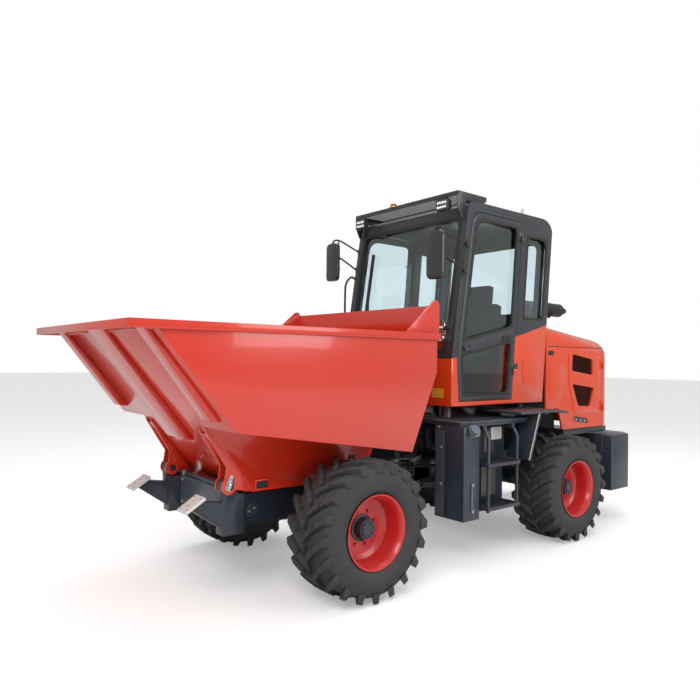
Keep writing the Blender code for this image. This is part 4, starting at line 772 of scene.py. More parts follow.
# Geometry Nodes tree that lays copies of a shape out in rows and columns
def buildGridTree():
    tree = bpy.data.node_groups.new("gridOfCopies", "GeometryNodeTree")
    face = tree.interface
    for label, kind, value in (("Shape", "NodeSocketGeometry", None), ("Columns", "NodeSocketInt", 1),
                               ("Rows", "NodeSocketInt", 1),
                               ("Step Across", "NodeSocketVector", (0.1, 0, 0)),
                               ("Step Up", "NodeSocketVector", (0, 0, 0.1)),
                               ("Stagger", "NodeSocketFloat", 0.0),
                               ("Finish", "NodeSocketMaterial", None)):
        socket = face.new_socket(label, in_out="INPUT", socket_type=kind)
        if value is not None:
            socket.default_value = value
    face.new_socket("Geometry", in_out="OUTPUT", socket_type="NodeSocketGeometry")
    source, sink = tree.nodes.new("NodeGroupInput"), tree.nodes.new("NodeGroupOutput")
    points = addNode(tree, "GeometryNodePoints")
    tree.links.new(addMath(tree, "MULTIPLY", source.outputs["Columns"], source.outputs["Rows"]),
                   points.inputs["Count"])
    index = addNode(tree, "GeometryNodeInputIndex").outputs[0]
    row = addMath(tree, "FLOOR", addMath(tree, "DIVIDE", index, source.outputs["Columns"]), 0)
    column = addMath(tree, "SUBTRACT", index, addMath(tree, "MULTIPLY", row, source.outputs["Columns"]))
    odd = addMath(tree, "MULTIPLY", addMath(tree, "MODULO", row, 2), source.outputs["Stagger"])
    across = addNode(tree, "ShaderNodeVectorMath", operation="SCALE")
    tree.links.new(source.outputs["Step Across"], across.inputs[0])
    tree.links.new(addMath(tree, "ADD", column, odd), across.inputs["Scale"])
    up = addNode(tree, "ShaderNodeVectorMath", operation="SCALE")
    tree.links.new(source.outputs["Step Up"], up.inputs[0])
    tree.links.new(row, up.inputs["Scale"])
    total = addNode(tree, "ShaderNodeVectorMath", operation="ADD")
    tree.links.new(across.outputs[0], total.inputs[0])
    tree.links.new(up.outputs[0], total.inputs[1])
    tree.links.new(total.outputs[0], points.inputs["Position"])
    copies = addNode(tree, "GeometryNodeInstanceOnPoints")
    tree.links.new(points.outputs[0], copies.inputs["Points"])
    tree.links.new(source.outputs["Shape"], copies.inputs["Instance"])
    real = addNode(tree, "GeometryNodeRealizeInstances")
    tree.links.new(copies.outputs[0], real.inputs[0])
    paint = addNode(tree, "GeometryNodeSetMaterial")
    tree.links.new(real.outputs[0], paint.inputs["Geometry"])
    tree.links.new(source.outputs["Finish"], paint.inputs["Material"])
    tree.links.new(paint.outputs[0], sink.inputs[0])
    return tree


# Geometry Nodes tree that sets a shape, turned from +Z to the point's facing, on each point
def buildScatterTree():
    tree = bpy.data.node_groups.new("copiesAtPoints", "GeometryNodeTree")
    face = tree.interface
    for label, kind in (("Points", "NodeSocketGeometry"), ("Shape", "NodeSocketObject"),
                        ("Finish", "NodeSocketMaterial")):
        face.new_socket(label, in_out="INPUT", socket_type=kind)
    face.new_socket("Geometry", in_out="OUTPUT", socket_type="NodeSocketGeometry")
    source, sink = tree.nodes.new("NodeGroupInput"), tree.nodes.new("NodeGroupOutput")
    shape = addNode(tree, "GeometryNodeObjectInfo")
    tree.links.new(source.outputs["Shape"], shape.inputs["Object"])
    facing = addNode(tree, "GeometryNodeInputNamedAttribute", data_type="FLOAT_VECTOR")
    facing.inputs["Name"].default_value = "facing"
    turn = addNode(tree, "FunctionNodeAlignRotationToVector", axis="Z")
    tree.links.new(facing.outputs["Attribute"], turn.inputs["Vector"])
    copies = addNode(tree, "GeometryNodeInstanceOnPoints")
    tree.links.new(source.outputs["Points"], copies.inputs["Points"])
    tree.links.new(shape.outputs["Geometry"], copies.inputs["Instance"])
    tree.links.new(turn.outputs[0], copies.inputs["Rotation"])
    real = addNode(tree, "GeometryNodeRealizeInstances")
    tree.links.new(copies.outputs[0], real.inputs[0])
    paint = addNode(tree, "GeometryNodeSetMaterial")
    tree.links.new(real.outputs[0], paint.inputs["Geometry"])
    tree.links.new(source.outputs["Finish"], paint.inputs["Material"])
    tree.links.new(paint.outputs[0], sink.inputs[0])
    return tree


gridTree = buildGridTree()
scatterTree = buildScatterTree()


# rows and columns of the object, as one mesh
def gridOf(obj, columns, rows, stepAcross, stepUp, material, stagger=0.0):
    modifier = obj.modifiers.new("grid", "NODES")
    modifier.node_group = gridTree
    setInputs(modifier, gridTree, Columns=columns, Rows=rows, StepAcross=stepAcross, StepUp=stepUp,
              Stagger=stagger,
              Finish=materials[material])
    return bake(obj)


# copies of the shape, which stands on +Z, at (point, facing) places, as one mesh
def copiesAt(places, shape, material, name):
    mesh = bpy.data.meshes.new(name)
    mesh.from_pydata([point for point, facing in places], [], [])
    facing = mesh.attributes.new("facing", "FLOAT_VECTOR", "POINT")
    for item, (point, direction) in zip(facing.data, places):
        item.vector = direction
    obj = linkObject(name, mesh)
    modifier = obj.modifiers.new("copies", "NODES")
    modifier.node_group = scatterTree
    setInputs(modifier, scatterTree, Shape=shape, Finish=materials[material])
    bake(obj)
    bpy.data.objects.remove(shape)
    return smoothed(obj, 30)


# hexagonal bolt heads with a washer at (point, facing) places
def boltsAt(name, places, radius, body, slot="steel", material="zinc"):
    height = radius * 0.9
    profile = [(-0.0005, 0), (-0.0005, radius * 1.5), (height * 0.2, radius * 1.5), (height * 0.2, radius),
               (height * 0.85, radius), (height, radius * 0.85), (height, 0)]
    head = latheObject("head", profile, (0, 0, 0), 6, "Z")
    return finished(copiesAt(places, head, material, name), body, slot, material)


# an oblong link or a diamond of an expanded sheet, as a thin flat ring across the axis
def ringPlate(width, height, strand, thick, axis, corners=4):
    ring = [[(a * (width / 2 - inset) * cos(2 * pi * (k + 0.5 * (corners != 4)) / corners),
              (height / 2 - inset * height / width) * sin(2 * pi * (k + 0.5 * (corners != 4)) / corners))
             for k in range(corners)] for a, inset in ((1, 0), (1, strand))]
    return plateObject(ring[0], -thick / 2, thick / 2, axis, 0.0, [ring[1]], "ring")


# the cab's frame and roof with the big bends of its side view
def makeCabShell():
    lowZ, topZ = 1.20, cab["roofZ"] + 0.0005
    outline = [(screenY(topZ) - 0.014 - 0.27, lowZ), (rearY(lowZ) + 0.013, lowZ),
               (rearY(topZ) + 0.013, topZ),
               (screenY(topZ) - 0.014, topZ)]
    bend = plateObject(roundedOutline(outline, [0, 0, cab["rearRound"], cab["frontRound"]], 12), -0.9, 0.9)
    for nodeName, width in (("cab_frame", 0.007), ("cab_roof", 0.010)):
        shell = softened(nodeName, 0, "cab_grey", "cabGrey")
        cut = shell.modifiers.new("bend", "BOOLEAN")
        cut.operation = "INTERSECT"
        cut.solver = "EXACT"
        cut.object = bend
        bake(shell)
        bevelled(shell, width, 3, 30)
        smoothed(shell, 38)
        finished(shell, "rear_body", "cab_grey", "cabGrey")
    bpy.data.objects.remove(bend)


makeCabShell()

seal = dict(grow=0.006, lip=0.016, proud=0.003, deep=0.014, radius=0.045)


def windowSeal(name, outline, outerX, side, body, radii):
    outer = roundedOutline(offsetOutline(outline, -seal["grow"]), [r * 0.6 for r in radii])
    inner = roundedOutline(offsetOutline(outline, seal["lip"]), radii)
    low, high = mirroredRange(outerX - seal["deep"], outerX + seal["proud"], side)
    return finished(plateObject(outer, low, high, "X", 0.002, [inner], name), body, "black_plastic",
                    "sealRubber")


def doorWindows():
    # door windows as the CAD has them, lower and upper
    sill, head = cab["doorLowZ"] + cab["border"], cab["doorTopZ"] - cab["border"]
    inset = cab["doorInset"] + cab["border"]
    front = lambda z: screenY(z) + inset
    rear = lambda z: doorRearY(z) - cab["border"]
    lower = [(front(sill) + 0.025, sill), (rear(sill), sill), (rear(1.80), 1.80), (front(1.665), 1.665)]
    upper = [(front(1.775), 1.775), (rear(1.915), 1.915), (rear(head), head), (front(head), head)]
    return lower, upper


def makeCabSeals():
    lower, upper = doorWindows()
    quarter = [(doorRearY(2.0) + 0.10, 2.0), (rearY(2.0) - 0.065, 2.0), (rearY(2.76) - 0.065, 2.76),
               (doorRearY(2.76) + 0.10, 2.76)]
    for side, sideName in sides:
        body = sideName + "_door_body"
        windowSeal(sideName + "_lower_seal", lower, cab["half"], side, body, [0.04, 0.04, 0.04, 0.04])
        windowSeal(sideName + "_upper_seal", upper, cab["half"], side, body, [0.04, 0.04, 0.05, 0.13])
        windowSeal(sideName + "_quarter_seal", quarter, cab["half"], side, "rear_body",
                   [0.03, 0.04, 0.10, 0.03])
    for name, half, low, high, place, flip in (("screen_seal", 0.62, 1.69, 2.82, lambda z: screenY(z), 1),
                                               ("rear_seal", 0.56, 2.06, 2.76, lambda z: rearY(z), -1)):
        box = [(-half, low), (half, low), (half, high), (-half, high)]
        outer = roundedOutline(offsetOutline(box, -0.012), 0.05)
        inner = roundedOutline(offsetOutline(box, 0.022), 0.07)
        ring = plateObject(outer, -0.003 * flip if flip > 0 else -0.020, 0.020 if flip > 0 else 0.003, "Y",
                           0.002, [inner],
                           name)
        finished(sheared(ring, place), "rear_body", "black_plastic", "sealRubber")


makeCabSeals()

handle = dict(y=0.655, z=1.815, length=0.105, height=0.052, corner=0.020)


def makeDoorFittings():
    for side, sideName in sides:
        body = sideName + "_door_body"
        y, z, halfLong, halfHigh = handle["y"], handle["z"], handle["length"] / 2, handle["height"] / 2
        outline = [(y - halfLong, z - halfHigh - 0.008), (y + halfLong, z - halfHigh + 0.008),
                   (y + halfLong, z + halfHigh + 0.008), (y - halfLong, z + halfHigh - 0.008)]
        outer = roundedOutline(outline, handle["corner"])
        inner = roundedOutline(offsetOutline(outline, 0.007), handle["corner"] * 0.7)
        low, high = mirroredRange(cab["half"] - 0.002, cab["half"] + 0.006, side)
        cup = plateObject(outer, low, high, "X", 0.0015, [inner])
        low, high = mirroredRange(cab["half"] - 0.004, cab["half"] + 0.001, side)
        floor = plateObject(inner, low, high)
        low, high = mirroredRange(cab["half"] - 0.001, cab["half"] + 0.009, side)
        paddle = boxObject((low, y - 0.030, z - 0.010), (high, y + 0.036, z + 0.012), 0.004)
        finished(joined(sideName + "_door_handle", [cup, floor, paddle]), body, "black_plastic",
                 "blackPlastic")
        # lock barrel, and stay hooks along the rail
        middleX = side * (cab["half"] - 0.001)
        boltsAt(sideName + "_rail_studs", [((middleX, yy, zz), (side, 0, 0)) for yy, zz in
                                           ((0.10, 1.735), (0.17, 1.742), (0.40, 1.795), (0.78, 2.60))],
                                           0.0075, body,
                "black_plastic", "blackPlastic")
        # black leaves over the hinges: one on the cab, one on the door
        for z0 in (1.50, 2.68):
            for owner, shift, rise in (("rear_body", 0.030, -0.002), (body, -0.036, 0.0)):
                low, high = mirroredRange(cab["half"] - 0.001, cab["half"] + 0.007, side)
                yy = doorRearY(z0) + shift
                leaf = plateObject(roundedOutline([(yy - 0.022, z0 + rise), (yy + 0.022, z0 + rise),
                                                   (yy + 0.030, z0 + 0.096), (yy - 0.014, z0 + 0.096)],
                                                   0.008),
                                   low, high, "X", 0.0015)
                leaf.name = sideName + "_hinge_leaf"
                finished(leaf, owner, "black_plastic", "blackPlastic")
                boltsAt(sideName + "_hinge_bolts",
                        [((side * (cab["half"] + 0.0065), yy + 0.004, z0 + dz), (side, 0, 0))
                                                   for dz in (0.022, 0.074)], 0.006, owner, "black_plastic",
                        "blackPlastic")


makeDoorFittings()

visor = dict(half=0.655, frontY=0.05, rearY=0.42, topZ=3.0195, bar=0.022, slotWide=0.062, slotDeep=0.030,
             strand=0.0045,
             lampX=(0.46, 0.59), lampY=(-0.0045, 0.050), lampZ=(2.866, 2.962))


def makeVisor():
    spec = visor
    half, front, rear, top, bar = (spec[key] for key in ("half", "frontY", "rearY", "topZ", "bar"))
    parts = [boxObject((-half, front, top - 0.036), (half, front + bar * 0.6, top), 0.003),
             boxObject((-half, rear - bar, top - 0.020), (half, rear, top), 0.003)]
    for side in (1, -1):
        low, high = mirroredRange(half - 0.006, half, side)
        foot = [(front, top), (rear, top), (rear, top - 0.040), (rear - 0.05, 2.9535), (0.165, 2.9535),
                (0.143, 2.905),
                (0.120, 2.80), (0.100, 2.80), (front, 2.90)]
        parts.append(plateObject(roundedOutline(foot, 0.010, 4), low, high, "X", 0.001))
        low, high = mirroredRange(half - 0.030, half - 0.004, side)
        parts.append(boxObject((low, front + 0.002, top - 0.012), (high, rear - 0.002, top - 0.001), 0.002))
        for y in (rear - 0.04, 0.20):
            low, high = mirroredRange(half - 0.05, half - 0.004, side)
            parts.append(boxObject((low, y - 0.02, 2.9502), (high, y + 0.02, 2.957), 0.002))
    frameObject = joined("visor_frame", parts)
    finished(frameObject, "rear_body", "cab_grey", "cabGrey", "visor_guard")
    # expanded sheet between the bars
    columns = int((2 * half - 0.05) / spec["slotWide"])
    rows = int((rear - front - 0.03) / (spec["slotDeep"] / 2)) - 1
    diamond = ringPlate(spec["slotWide"] + spec["strand"], spec["slotDeep"] + spec["strand"],
                        spec["strand"] * 1.5, 0.003,
                        "Z")
    for vert in diamond.data.vertices:
        vert.co.z += 0.10 * vert.co.y
    span = (columns - 0.5) * spec["slotWide"]
    diamond.data.transform(Matrix.Translation((-span / 2 + 0.25 * spec["slotWide"] - 0.0,
                                               front + bar + 0.012, top - 0.008)))
    mesh = gridOf(diamond, columns, rows, (spec["slotWide"], 0, 0), (0, spec["slotDeep"] / 2, 0), "cabGrey",
                  0.5)
    mesh.name = "visor_mesh"
    finished(mesh, "rear_body", "cab_grey", "cabGrey")
    # lamps under the front bar, each with a grid of small lenses
    for side, sideName in sides:
        low, high = mirroredRange(*spec["lampX"], side)
        (y0, y1), (z0, z1) = spec["lampY"], spec["lampZ"]
        ring = roundedOutline([(low, z0), (high, z0), (high, z1), (low, z1)], 0.012)
        mouth = roundedOutline(offsetOutline([(low, z0), (high, z0), (high, z1), (low, z1)], 0.007), 0.008)
        casing = [plateObject(ring, y0, y1 - 0.018, "Y", 0.002, [mouth]),
                  plateObject(offsetOutline(mouth, -0.001), y0 + 0.012, y0 + 0.018, "Y"),
                  boxObject((low + 0.012, y1 - 0.020, z0 + 0.010), (high - 0.012, y1 - 0.004, z1 - 0.010),
                            0.003)]
        fin = boxObject((low + 0.014, y1 - 0.006, z0 + 0.012), (low + 0.017, y1 + 0.010, z1 - 0.012))
        casing.append(gridOf(fin, 9, 1, ((high - low - 0.031) / 8, 0, 0), (0, 0, 1), "blackPlastic"))
        middleX = (low + high) / 2
        casing.append(boxObject((middleX - 0.020, 0.030, z1 - 0.01), (middleX + 0.020, 0.058, z1 + 0.030),
                                0.003))
        finished(joined(sideName + "_work_lamp", casing), "rear_body", "black_plastic", "blackPlastic")
        cup = latheObject("cup", [(0.0125, 0), (0.0125, 0.0050), (0.0015, 0.0138), (0.0005, 0.0138),
                                  (0.0005, 0.0125),
                                  (0.0090, 0.0040), (0.0090, 0)], (0, 0, 0), 10, "Y")
        wide, tall = (high - low - 0.022) / 4, (z1 - z0 - 0.022) / 2
        cup.data.transform(Matrix.Translation((low + 0.011 + wide / 2, y0 + 0.002, z0 + 0.011 + tall / 2)))
        cups = gridOf(cup, 4, 2, (wide, 0, 0), (0, 0, tall), "steel")
        cups.name = sideName + "_lamp_cups"
        finished(smoothed(cups, 30), "rear_body", "steel", "lampSilver")
        pane = plateObject(mouth, y0 + 0.0005, y0 + 0.0016, "Y")
        pane.name = sideName + "_lamp_pane"
        finished(pane, "rear_body", "glass", "lampGlass")


makeVisor()

beacon = dict(radius=0.040, footZ=3.0204, topZ=3.0696)


def makeBeacon():
    low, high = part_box("beacon")
    x, y = (low[0] + high[0]) / 2, (low[1] + high[1]) / 2
    r, z0, z1 = beacon["radius"], beacon["footZ"], beacon["topZ"]
    foot = latheObject("beacon_foot",
                       [(z0, 0), (z0, r), (z0 + 0.010, r), (z0 + 0.013, r * 0.93), (z0 + 0.013, 0)],
                       (x, y, 0), 40, "Z")
    finished(foot, "rear_body", "black_plastic", "blackPlastic", "beacon")
    dome = [(z0 + 0.0132, 0), (z0 + 0.0132, r * 0.92)]
    for k in range(9):
        a = radians(10 * k + 8)
        dome.append((z0 + 0.0132 + (z1 - z0 - 0.0132) * sin(a), r * 0.92 * cos(a) ** 0.55))
    dome.append((z1, 0))
    finished(latheObject("beacon_dome", dome, (x, y, 0), 40, "Z"), "rear_body", "amber", "amberLens")


makeBeacon()
print("cab shell, seals and visor made")

mirror = dict(wide=0.17, deep=0.044, tall=0.37, round=0.05, tube=0.0085, heads={1: (0.80, -0.36, 2.42),
                                                                               -1: (-0.78, -0.13, 2.56)},
              arms={1: (2.30, 2.56), -1: (2.44, 2.66)})


def makeMirrors():
    for side, sideName in sides:
        x, y, z = mirror["heads"][side]
        w, t = mirror["wide"] / 2, mirror["tall"] / 2
        face = [(x - w, z - t), (x + w, z - t), (x + w, z + t), (x - w, z + t)]
        back = plateObject(roundedOutline(face, mirror["round"]), y - mirror["deep"] / 2,
                           y + mirror["deep"] / 2 - 0.006,
                           "Y", 0.012, name=sideName + "_mirror_shell")
        finished(back, "rear_body", "black_plastic", "mirrorBlack", sideName + "_mirror")
        rimRing = plateObject(roundedOutline(offsetOutline(face, 0.002), mirror["round"]),
                              y + mirror["deep"] / 2 - 0.010,
                              y + mirror["deep"] / 2 - 0.001, "Y", 0.002,
                              [roundedOutline(offsetOutline(face, 0.014), mirror["round"] * 0.8)])
        finished(rimRing, "rear_body", "black_plastic", "sealRubber")
        pane = plateObject(roundedOutline(offsetOutline(face, 0.013), mirror["round"] * 0.8),
                           y + mirror["deep"] / 2 - 0.008, y + mirror["deep"] / 2 - 0.004, "Y")
        pane.name = sideName + "_mirror_glass"
        finished(pane, "rear_body", "steel", "mirrorSilver")
        lowZ, highZ = mirror["arms"][side]
        rootX = side * (cab["half"] + 0.014)
        inX = x - side * w * 0.55
        outX = x + side * w * 0.62
        topZ = z + t + 0.035
        pipes = [tubeObject([(rootX, screenY(highZ) + 0.028, highZ + 0.02), (inX, y + 0.030, topZ),
                             (outX, y + 0.030, topZ),
                             (outX, y + 0.030, z - t * 0.1)], mirror["tube"], 10, 0.05),
                 tubeObject([(rootX, screenY(lowZ) + 0.028, lowZ + 0.06), (inX, y + 0.032, z + t * 0.30),
                             (inX, y + 0.032, z - t * 0.55)], mirror["tube"], 10, 0.05),
                 tubeObject([(inX, y + 0.031, z + t * 0.30), (inX, y + 0.031, topZ)], mirror["tube"] * 0.8,
                            8)]
        for zz in (highZ + 0.02, lowZ + 0.06):
            low, high = mirroredRange(cab["half"] + 0.001, cab["half"] + 0.022, side)
            yy = screenY(zz) + 0.028
            pipes.append(boxObject((low, yy - 0.020, zz - 0.026), (high, yy + 0.020, zz + 0.026), 0.004))
        low, high = mirroredRange(cab["half"] + 0.0005, cab["half"] + 0.006, side)
        strap = plateObject([(-0.022, lowZ), (0.022, lowZ), (0.022, highZ + 0.06), (-0.022, highZ + 0.06)],
                            low, high)
        for vert in strap.data.vertices:
            vert.co.y += screenY(vert.co.z) + 0.028
        pipes.append(strap)
        for zz in (z + t * 0.20, z - t * 0.35):
            pipes.append(boxObject((inX - 0.014, y + 0.012, zz - 0.018),
                                   (inX + 0.014, y + 0.044, zz + 0.018), 0.004))
        finished(joined(sideName + "_mirror_arms", pipes), "rear_body", "black_plastic", "blackPlastic")


makeMirrors()

wiper = dict(pivotX=-0.30, pivotZ=1.672, tipX=-0.44, tipZ=2.36, bladeLow=1.86, bladeHigh=2.62)


def makeScreenFittings():
    # wiper: motor cap, arm and blade, a little off the glass
    px, pz, tx, tz = (wiper[key] for key in ("pivotX", "pivotZ", "tipX", "tipZ"))
    off = -0.030
    parts = [latheObject("cap", [(-0.045, 0), (-0.045, 0.018), (-0.010, 0.022), (0.010, 0.022), (0.010, 0)],
                         (px, 0, pz),
                         20, "Y"),
             tubeObject([(px, off, pz), ((px + tx) / 2, off - 0.012, (pz + tz) / 2), (tx, off, tz)], 0.006,
                        8),
             boxObject((tx - 0.007, off - 0.002, wiper["bladeLow"]),
                       (tx + 0.007, off + 0.016, wiper["bladeHigh"]), 0.003),
             boxObject((tx - 0.003, off + 0.014, wiper["bladeLow"]),
                       (tx + 0.003, off + 0.034, wiper["bladeHigh"]), 0.001)]
    blade = sheared(joined("screen_wiper", parts), lambda z: screenY(z) + 0.008)
    finished(blade, "rear_body", "black_plastic", "blackPlastic")
    # grab hoop at the far front corner
    x = -cab["half"] - 0.016
    hoop = [tubeObject([(x + 0.016, screenY(1.80) + 0.030, 1.80), (x, -0.035, 1.86), (x, -0.030, 2.36),
                        (x, 0.05, 2.44),
                        (x, screenY(2.40) + 0.055, 2.38), (x + 0.016, screenY(2.34) + 0.045, 2.34)], 0.010,
                        12, 0.06)]
    finished(joined("grab_hoop", hoop), "rear_body", "black_plastic", "blackPlastic")
    # pair of round marker lamps at the foot of the near pillar
    for z, paneMaterial in ((1.800, "lampGlass"), (1.905, "lampGlass")):
        y = screenY(z) - 0.012
        ring = latheObject("marker_rim",
                           [(-0.034, 0.030), (-0.034, 0.036), (-0.022, 0.039), (0.012, 0.036), (0.012, 0),
                                          (-0.020, 0), (-0.031, 0.026)], (0.575, y, z), 32, "Y")
        finished(ring, "rear_body", "steel", "lampSilver")
        pane = latheObject("marker_pane",
                           [(-0.0405, 0), (-0.0395, 0.012), (-0.0345, 0.030), (-0.0325, 0.030),
                                           (-0.0325, 0)], (0.575, y, z), 32, "Y")
        finished(pane, "rear_body", "glass", paneMaterial)
    # blank yellow plate low on the front
    plate = plateObject(roundedOutline([(0.475, 1.31), (0.605, 1.31), (0.605, 1.385), (0.475, 1.385)],
                                       0.008),
                        cab["frontY"] - 0.0025, cab["frontY"] + 0.001, "Y", 0.0008)
    plate.name = "blank_yellow_plate"
    finished(plate, "rear_body", "body_orange", "plateYellow")
    # lifting eyes on the roof's edges
    eyes = []
    for side in (1, -1):
        x, y, z = side * 0.655, 0.93, cab["roofZ"] - 0.002
        eyes.append(latheObject("foot", [(z, 0), (z, 0.016), (z + 0.007, 0.016), (z + 0.010, 0.009),
                                         (z + 0.020, 0.008),
                                         (z + 0.020, 0)], (x, y, 0), 16, "Z"))
        loop = [(x, y + 0.017 * cos(2 * pi * k / 20),
                 z + 0.034 + 0.017 * sin(2 * pi * k / 20)) for k in range(21)]
        eyes.append(tubeObject(loop, 0.0050, 8))
    finished(joined("roof_eyes", eyes), "rear_body", "steel", "zinc")


makeScreenFittings()


skip = dict(wall=0.487, frontY=-1.74, bottomZ=0.735, rimZ=1.815, slopeTopY=-2.62, pinY=-1.92, pinZ=0.790,
            earX=0.4375,
            pocketY=(-1.722, -1.630), pocketZ=(0.752, 0.800), pocketDeep=0.005)
slopeAngle = radians(50.827)


def slopePoint(x, rise, out):
    # a point up the sloping front plate from its foot, and off it
    return Vector((x, skip["frontY"] - cos(slopeAngle) * rise - sin(slopeAngle) * out,
                   skip["bottomZ"] + sin(slopeAngle) * rise - cos(slopeAngle) * out))


def minus(obj, cutters):
    # the object with the cutters taken out; the cutters go
    for cutter in cutters:
        cut = obj.modifiers.new("cut", "BOOLEAN")
        cut.operation = "DIFFERENCE"
        cut.solver = "EXACT"
        cut.object = cutter
        bake(obj)
        bpy.data.objects.remove(cutter)
    return smoothed(obj, 38)


def makeSkipDetails():
    # fork pockets low in the hopper's sides, cut shallow, with a near-black plate at each pocket's floor as
    # painted shade for its depth
    shell = bpy.data.objects["skip_shell_panel"]
    (y0, y1), (z0, z1) = skip["pocketY"], skip["pocketZ"]
    deep = skip["pocketDeep"]
    cutters, pocketShades, frames = [], [], []
    outline = [(y0, z0), (y1, z0), (y1, z1), (y0, z1)]
    for side in (1, -1):
        low, high = mirroredRange(skip["wall"] - deep, skip["wall"] + 0.05, side)
        cutters.append(boxObject((low, y0, z0), (high, y1, z1)))
        # near-black plate at the pocket's floor: painted shade standing for the pocket's depth
        low, high = mirroredRange(skip["wall"] - deep - 0.0004, skip["wall"] - deep + 0.0006, side)
        pocketShades.append(plateObject(offsetOutline(outline, 0.0002), low, high))
        low, high = mirroredRange(skip["wall"] - 0.001, skip["wall"] + 0.004, side)
        frames.append(plateObject(roundedOutline(offsetOutline(outline, -0.010), 0.008), low, high, "X",
                                  0.001,
                                  [outline]))
    minus(shell, cutters)
    finished(shell, "skip_body", "skip_red", "skipRed")
    finished(joined("pocket_floors", pocketShades), "skip_body", "black_plastic", "sealRubber")
    finished(joined("pocket_frames", frames), "skip_body", "skip_red", "skipRed")
    # weld beads: along the hopper's foot, its front corners and the step under the wide part
    beads = []
    for side in (1, -1):
        x = side * (skip["wall"] + 0.001)
        kneeFront, kneeRear = (x, -2.104, 1.1815), (x, -0.700, 0.9595)
        beads.append(tubeObject([slopePoint(x, 0.01, 0.0), slopePoint(x, 0.56, 0.0)], 0.0045, 8))
        beads.append(tubeObject([kneeFront, kneeRear], 0.0045, 8))
    beads.append(tubeObject([(-0.48, skip["frontY"] - 0.001, skip["bottomZ"]),
                             (0.48, skip["frontY"] - 0.001,
                                                                              skip["bottomZ"])], 0.004, 8))
    finished(joined("skip_welds", beads), "skip_body", "skip_red", "skipRed")
    # small bent bracket low on the slope, for a hose clip
    bracket = tubeObject([slopePoint(0.045, 0.245, 0.0), slopePoint(0.060, 0.250, 0.030),
                          slopePoint(0.135, 0.285, 0.032),
                          slopePoint(0.150, 0.290, 0.004)], 0.008, 8, 0.012)
    bracket.name = "slope_bracket"
    finished(bracket, "skip_body", "skip_red", "skipRed")
    # lock plates over the tipping pins' outer ends
    plates, studs = [], []
    for side in (1, -1):
        low, high = mirroredRange(0.4876, 0.4926, side)
        y, z = skip["pinY"], skip["pinZ"]
        tear = [(y + 0.030 * cos(radians(a)), z + 0.030 * sin(radians(a))) for a in range(150, 346, 15)]
        tear += [(y + 0.012 + 0.017 * cos(radians(a)),
                  z + 0.052 + 0.017 * sin(radians(a))) for a in range(-20, 160, 20)]
        plates.append(plateObject(tear, low, high, "X", 0.001))
        plates.append(latheObject("pinEnd",
                                  [(0, 0), (0, 0.019), (side * 0.005, 0.019), (side * 0.007, 0.015),
                                             (side * 0.007, 0)], (side * 0.4925, y, z), 28))
        studs.append(((side * 0.4925, y + 0.013, z + 0.050), (side, 0, 0)))
    finished(joined("pin_lock_plates", plates), "front_body", "steel", "steel")
    boltsAt("pin_lock_bolts", studs, 0.007, "front_body")


makeSkipDetails()

pad = dict(length=0.15, width=0.12, plate=0.020, reach=0.249, lift=0.0538, tip=82, x=0.4375, skin=0.0008)


def makePads():
    angle = pi - slopeAngle + radians(pad["tip"])
    along = Vector((0, cos(angle), sin(angle)))
    out = Vector((0, along.z, -along.y))
    middle = Vector((0, skip["pinY"],
                     skip["pinZ"])) + along * pad["reach"] + out * (pad["lift"] - pad["plate"] / 2)
    skin = pad["skin"]
    slabs, holes = [], []
    for side in (1, -1):
        slab = boxObject((-pad["width"] / 2 - skin, -pad["length"] / 2 - skin, -pad["plate"] / 2 - skin),
                         (pad["width"] / 2 + skin, pad["length"] / 2 + skin, pad["plate"] / 2 + skin),
                         0.003)
        centre = middle + Vector((side * pad["x"], 0, 0))
        slab.data.transform(Matrix.Translation(centre) @ Matrix((Vector((1, 0, 0)), along,
            out)).transposed().to_4x4())
        slabs.append(slab)
        for a, b in ((-0.042, -0.055), (0.042, -0.055), (-0.042, 0.055), (0.042, 0.055), (0.0, -0.022),
                     (0.0, 0.022)):
            holes.append((centre + Vector((a, 0, 0)) + along * b + out * (pad["plate"] / 2 + skin - 0.0015),
                          out))
    finished(joined("rest_pads", slabs), "front_body", "steel", "whitePaint")
    screw = latheObject("screw", [(0, 0), (0, 0.0060), (0.0022, 0.0060), (0.0026, 0.0046), (0.0012, 0.0030),
                                  (0.0012, 0)],
                        (0, 0, 0), 14, "Z")
    finished(copiesAt(holes, screw, "darkRubber", "pad_screws"), "front_body", "black_plastic",
             "darkRubber")


makePads()

frontFrame = dict(plateY=-1.87, lowZ=0.506, highZ=0.742, half=0.335, beamX=0.40, bossY=-1.700, bossZ=0.594)


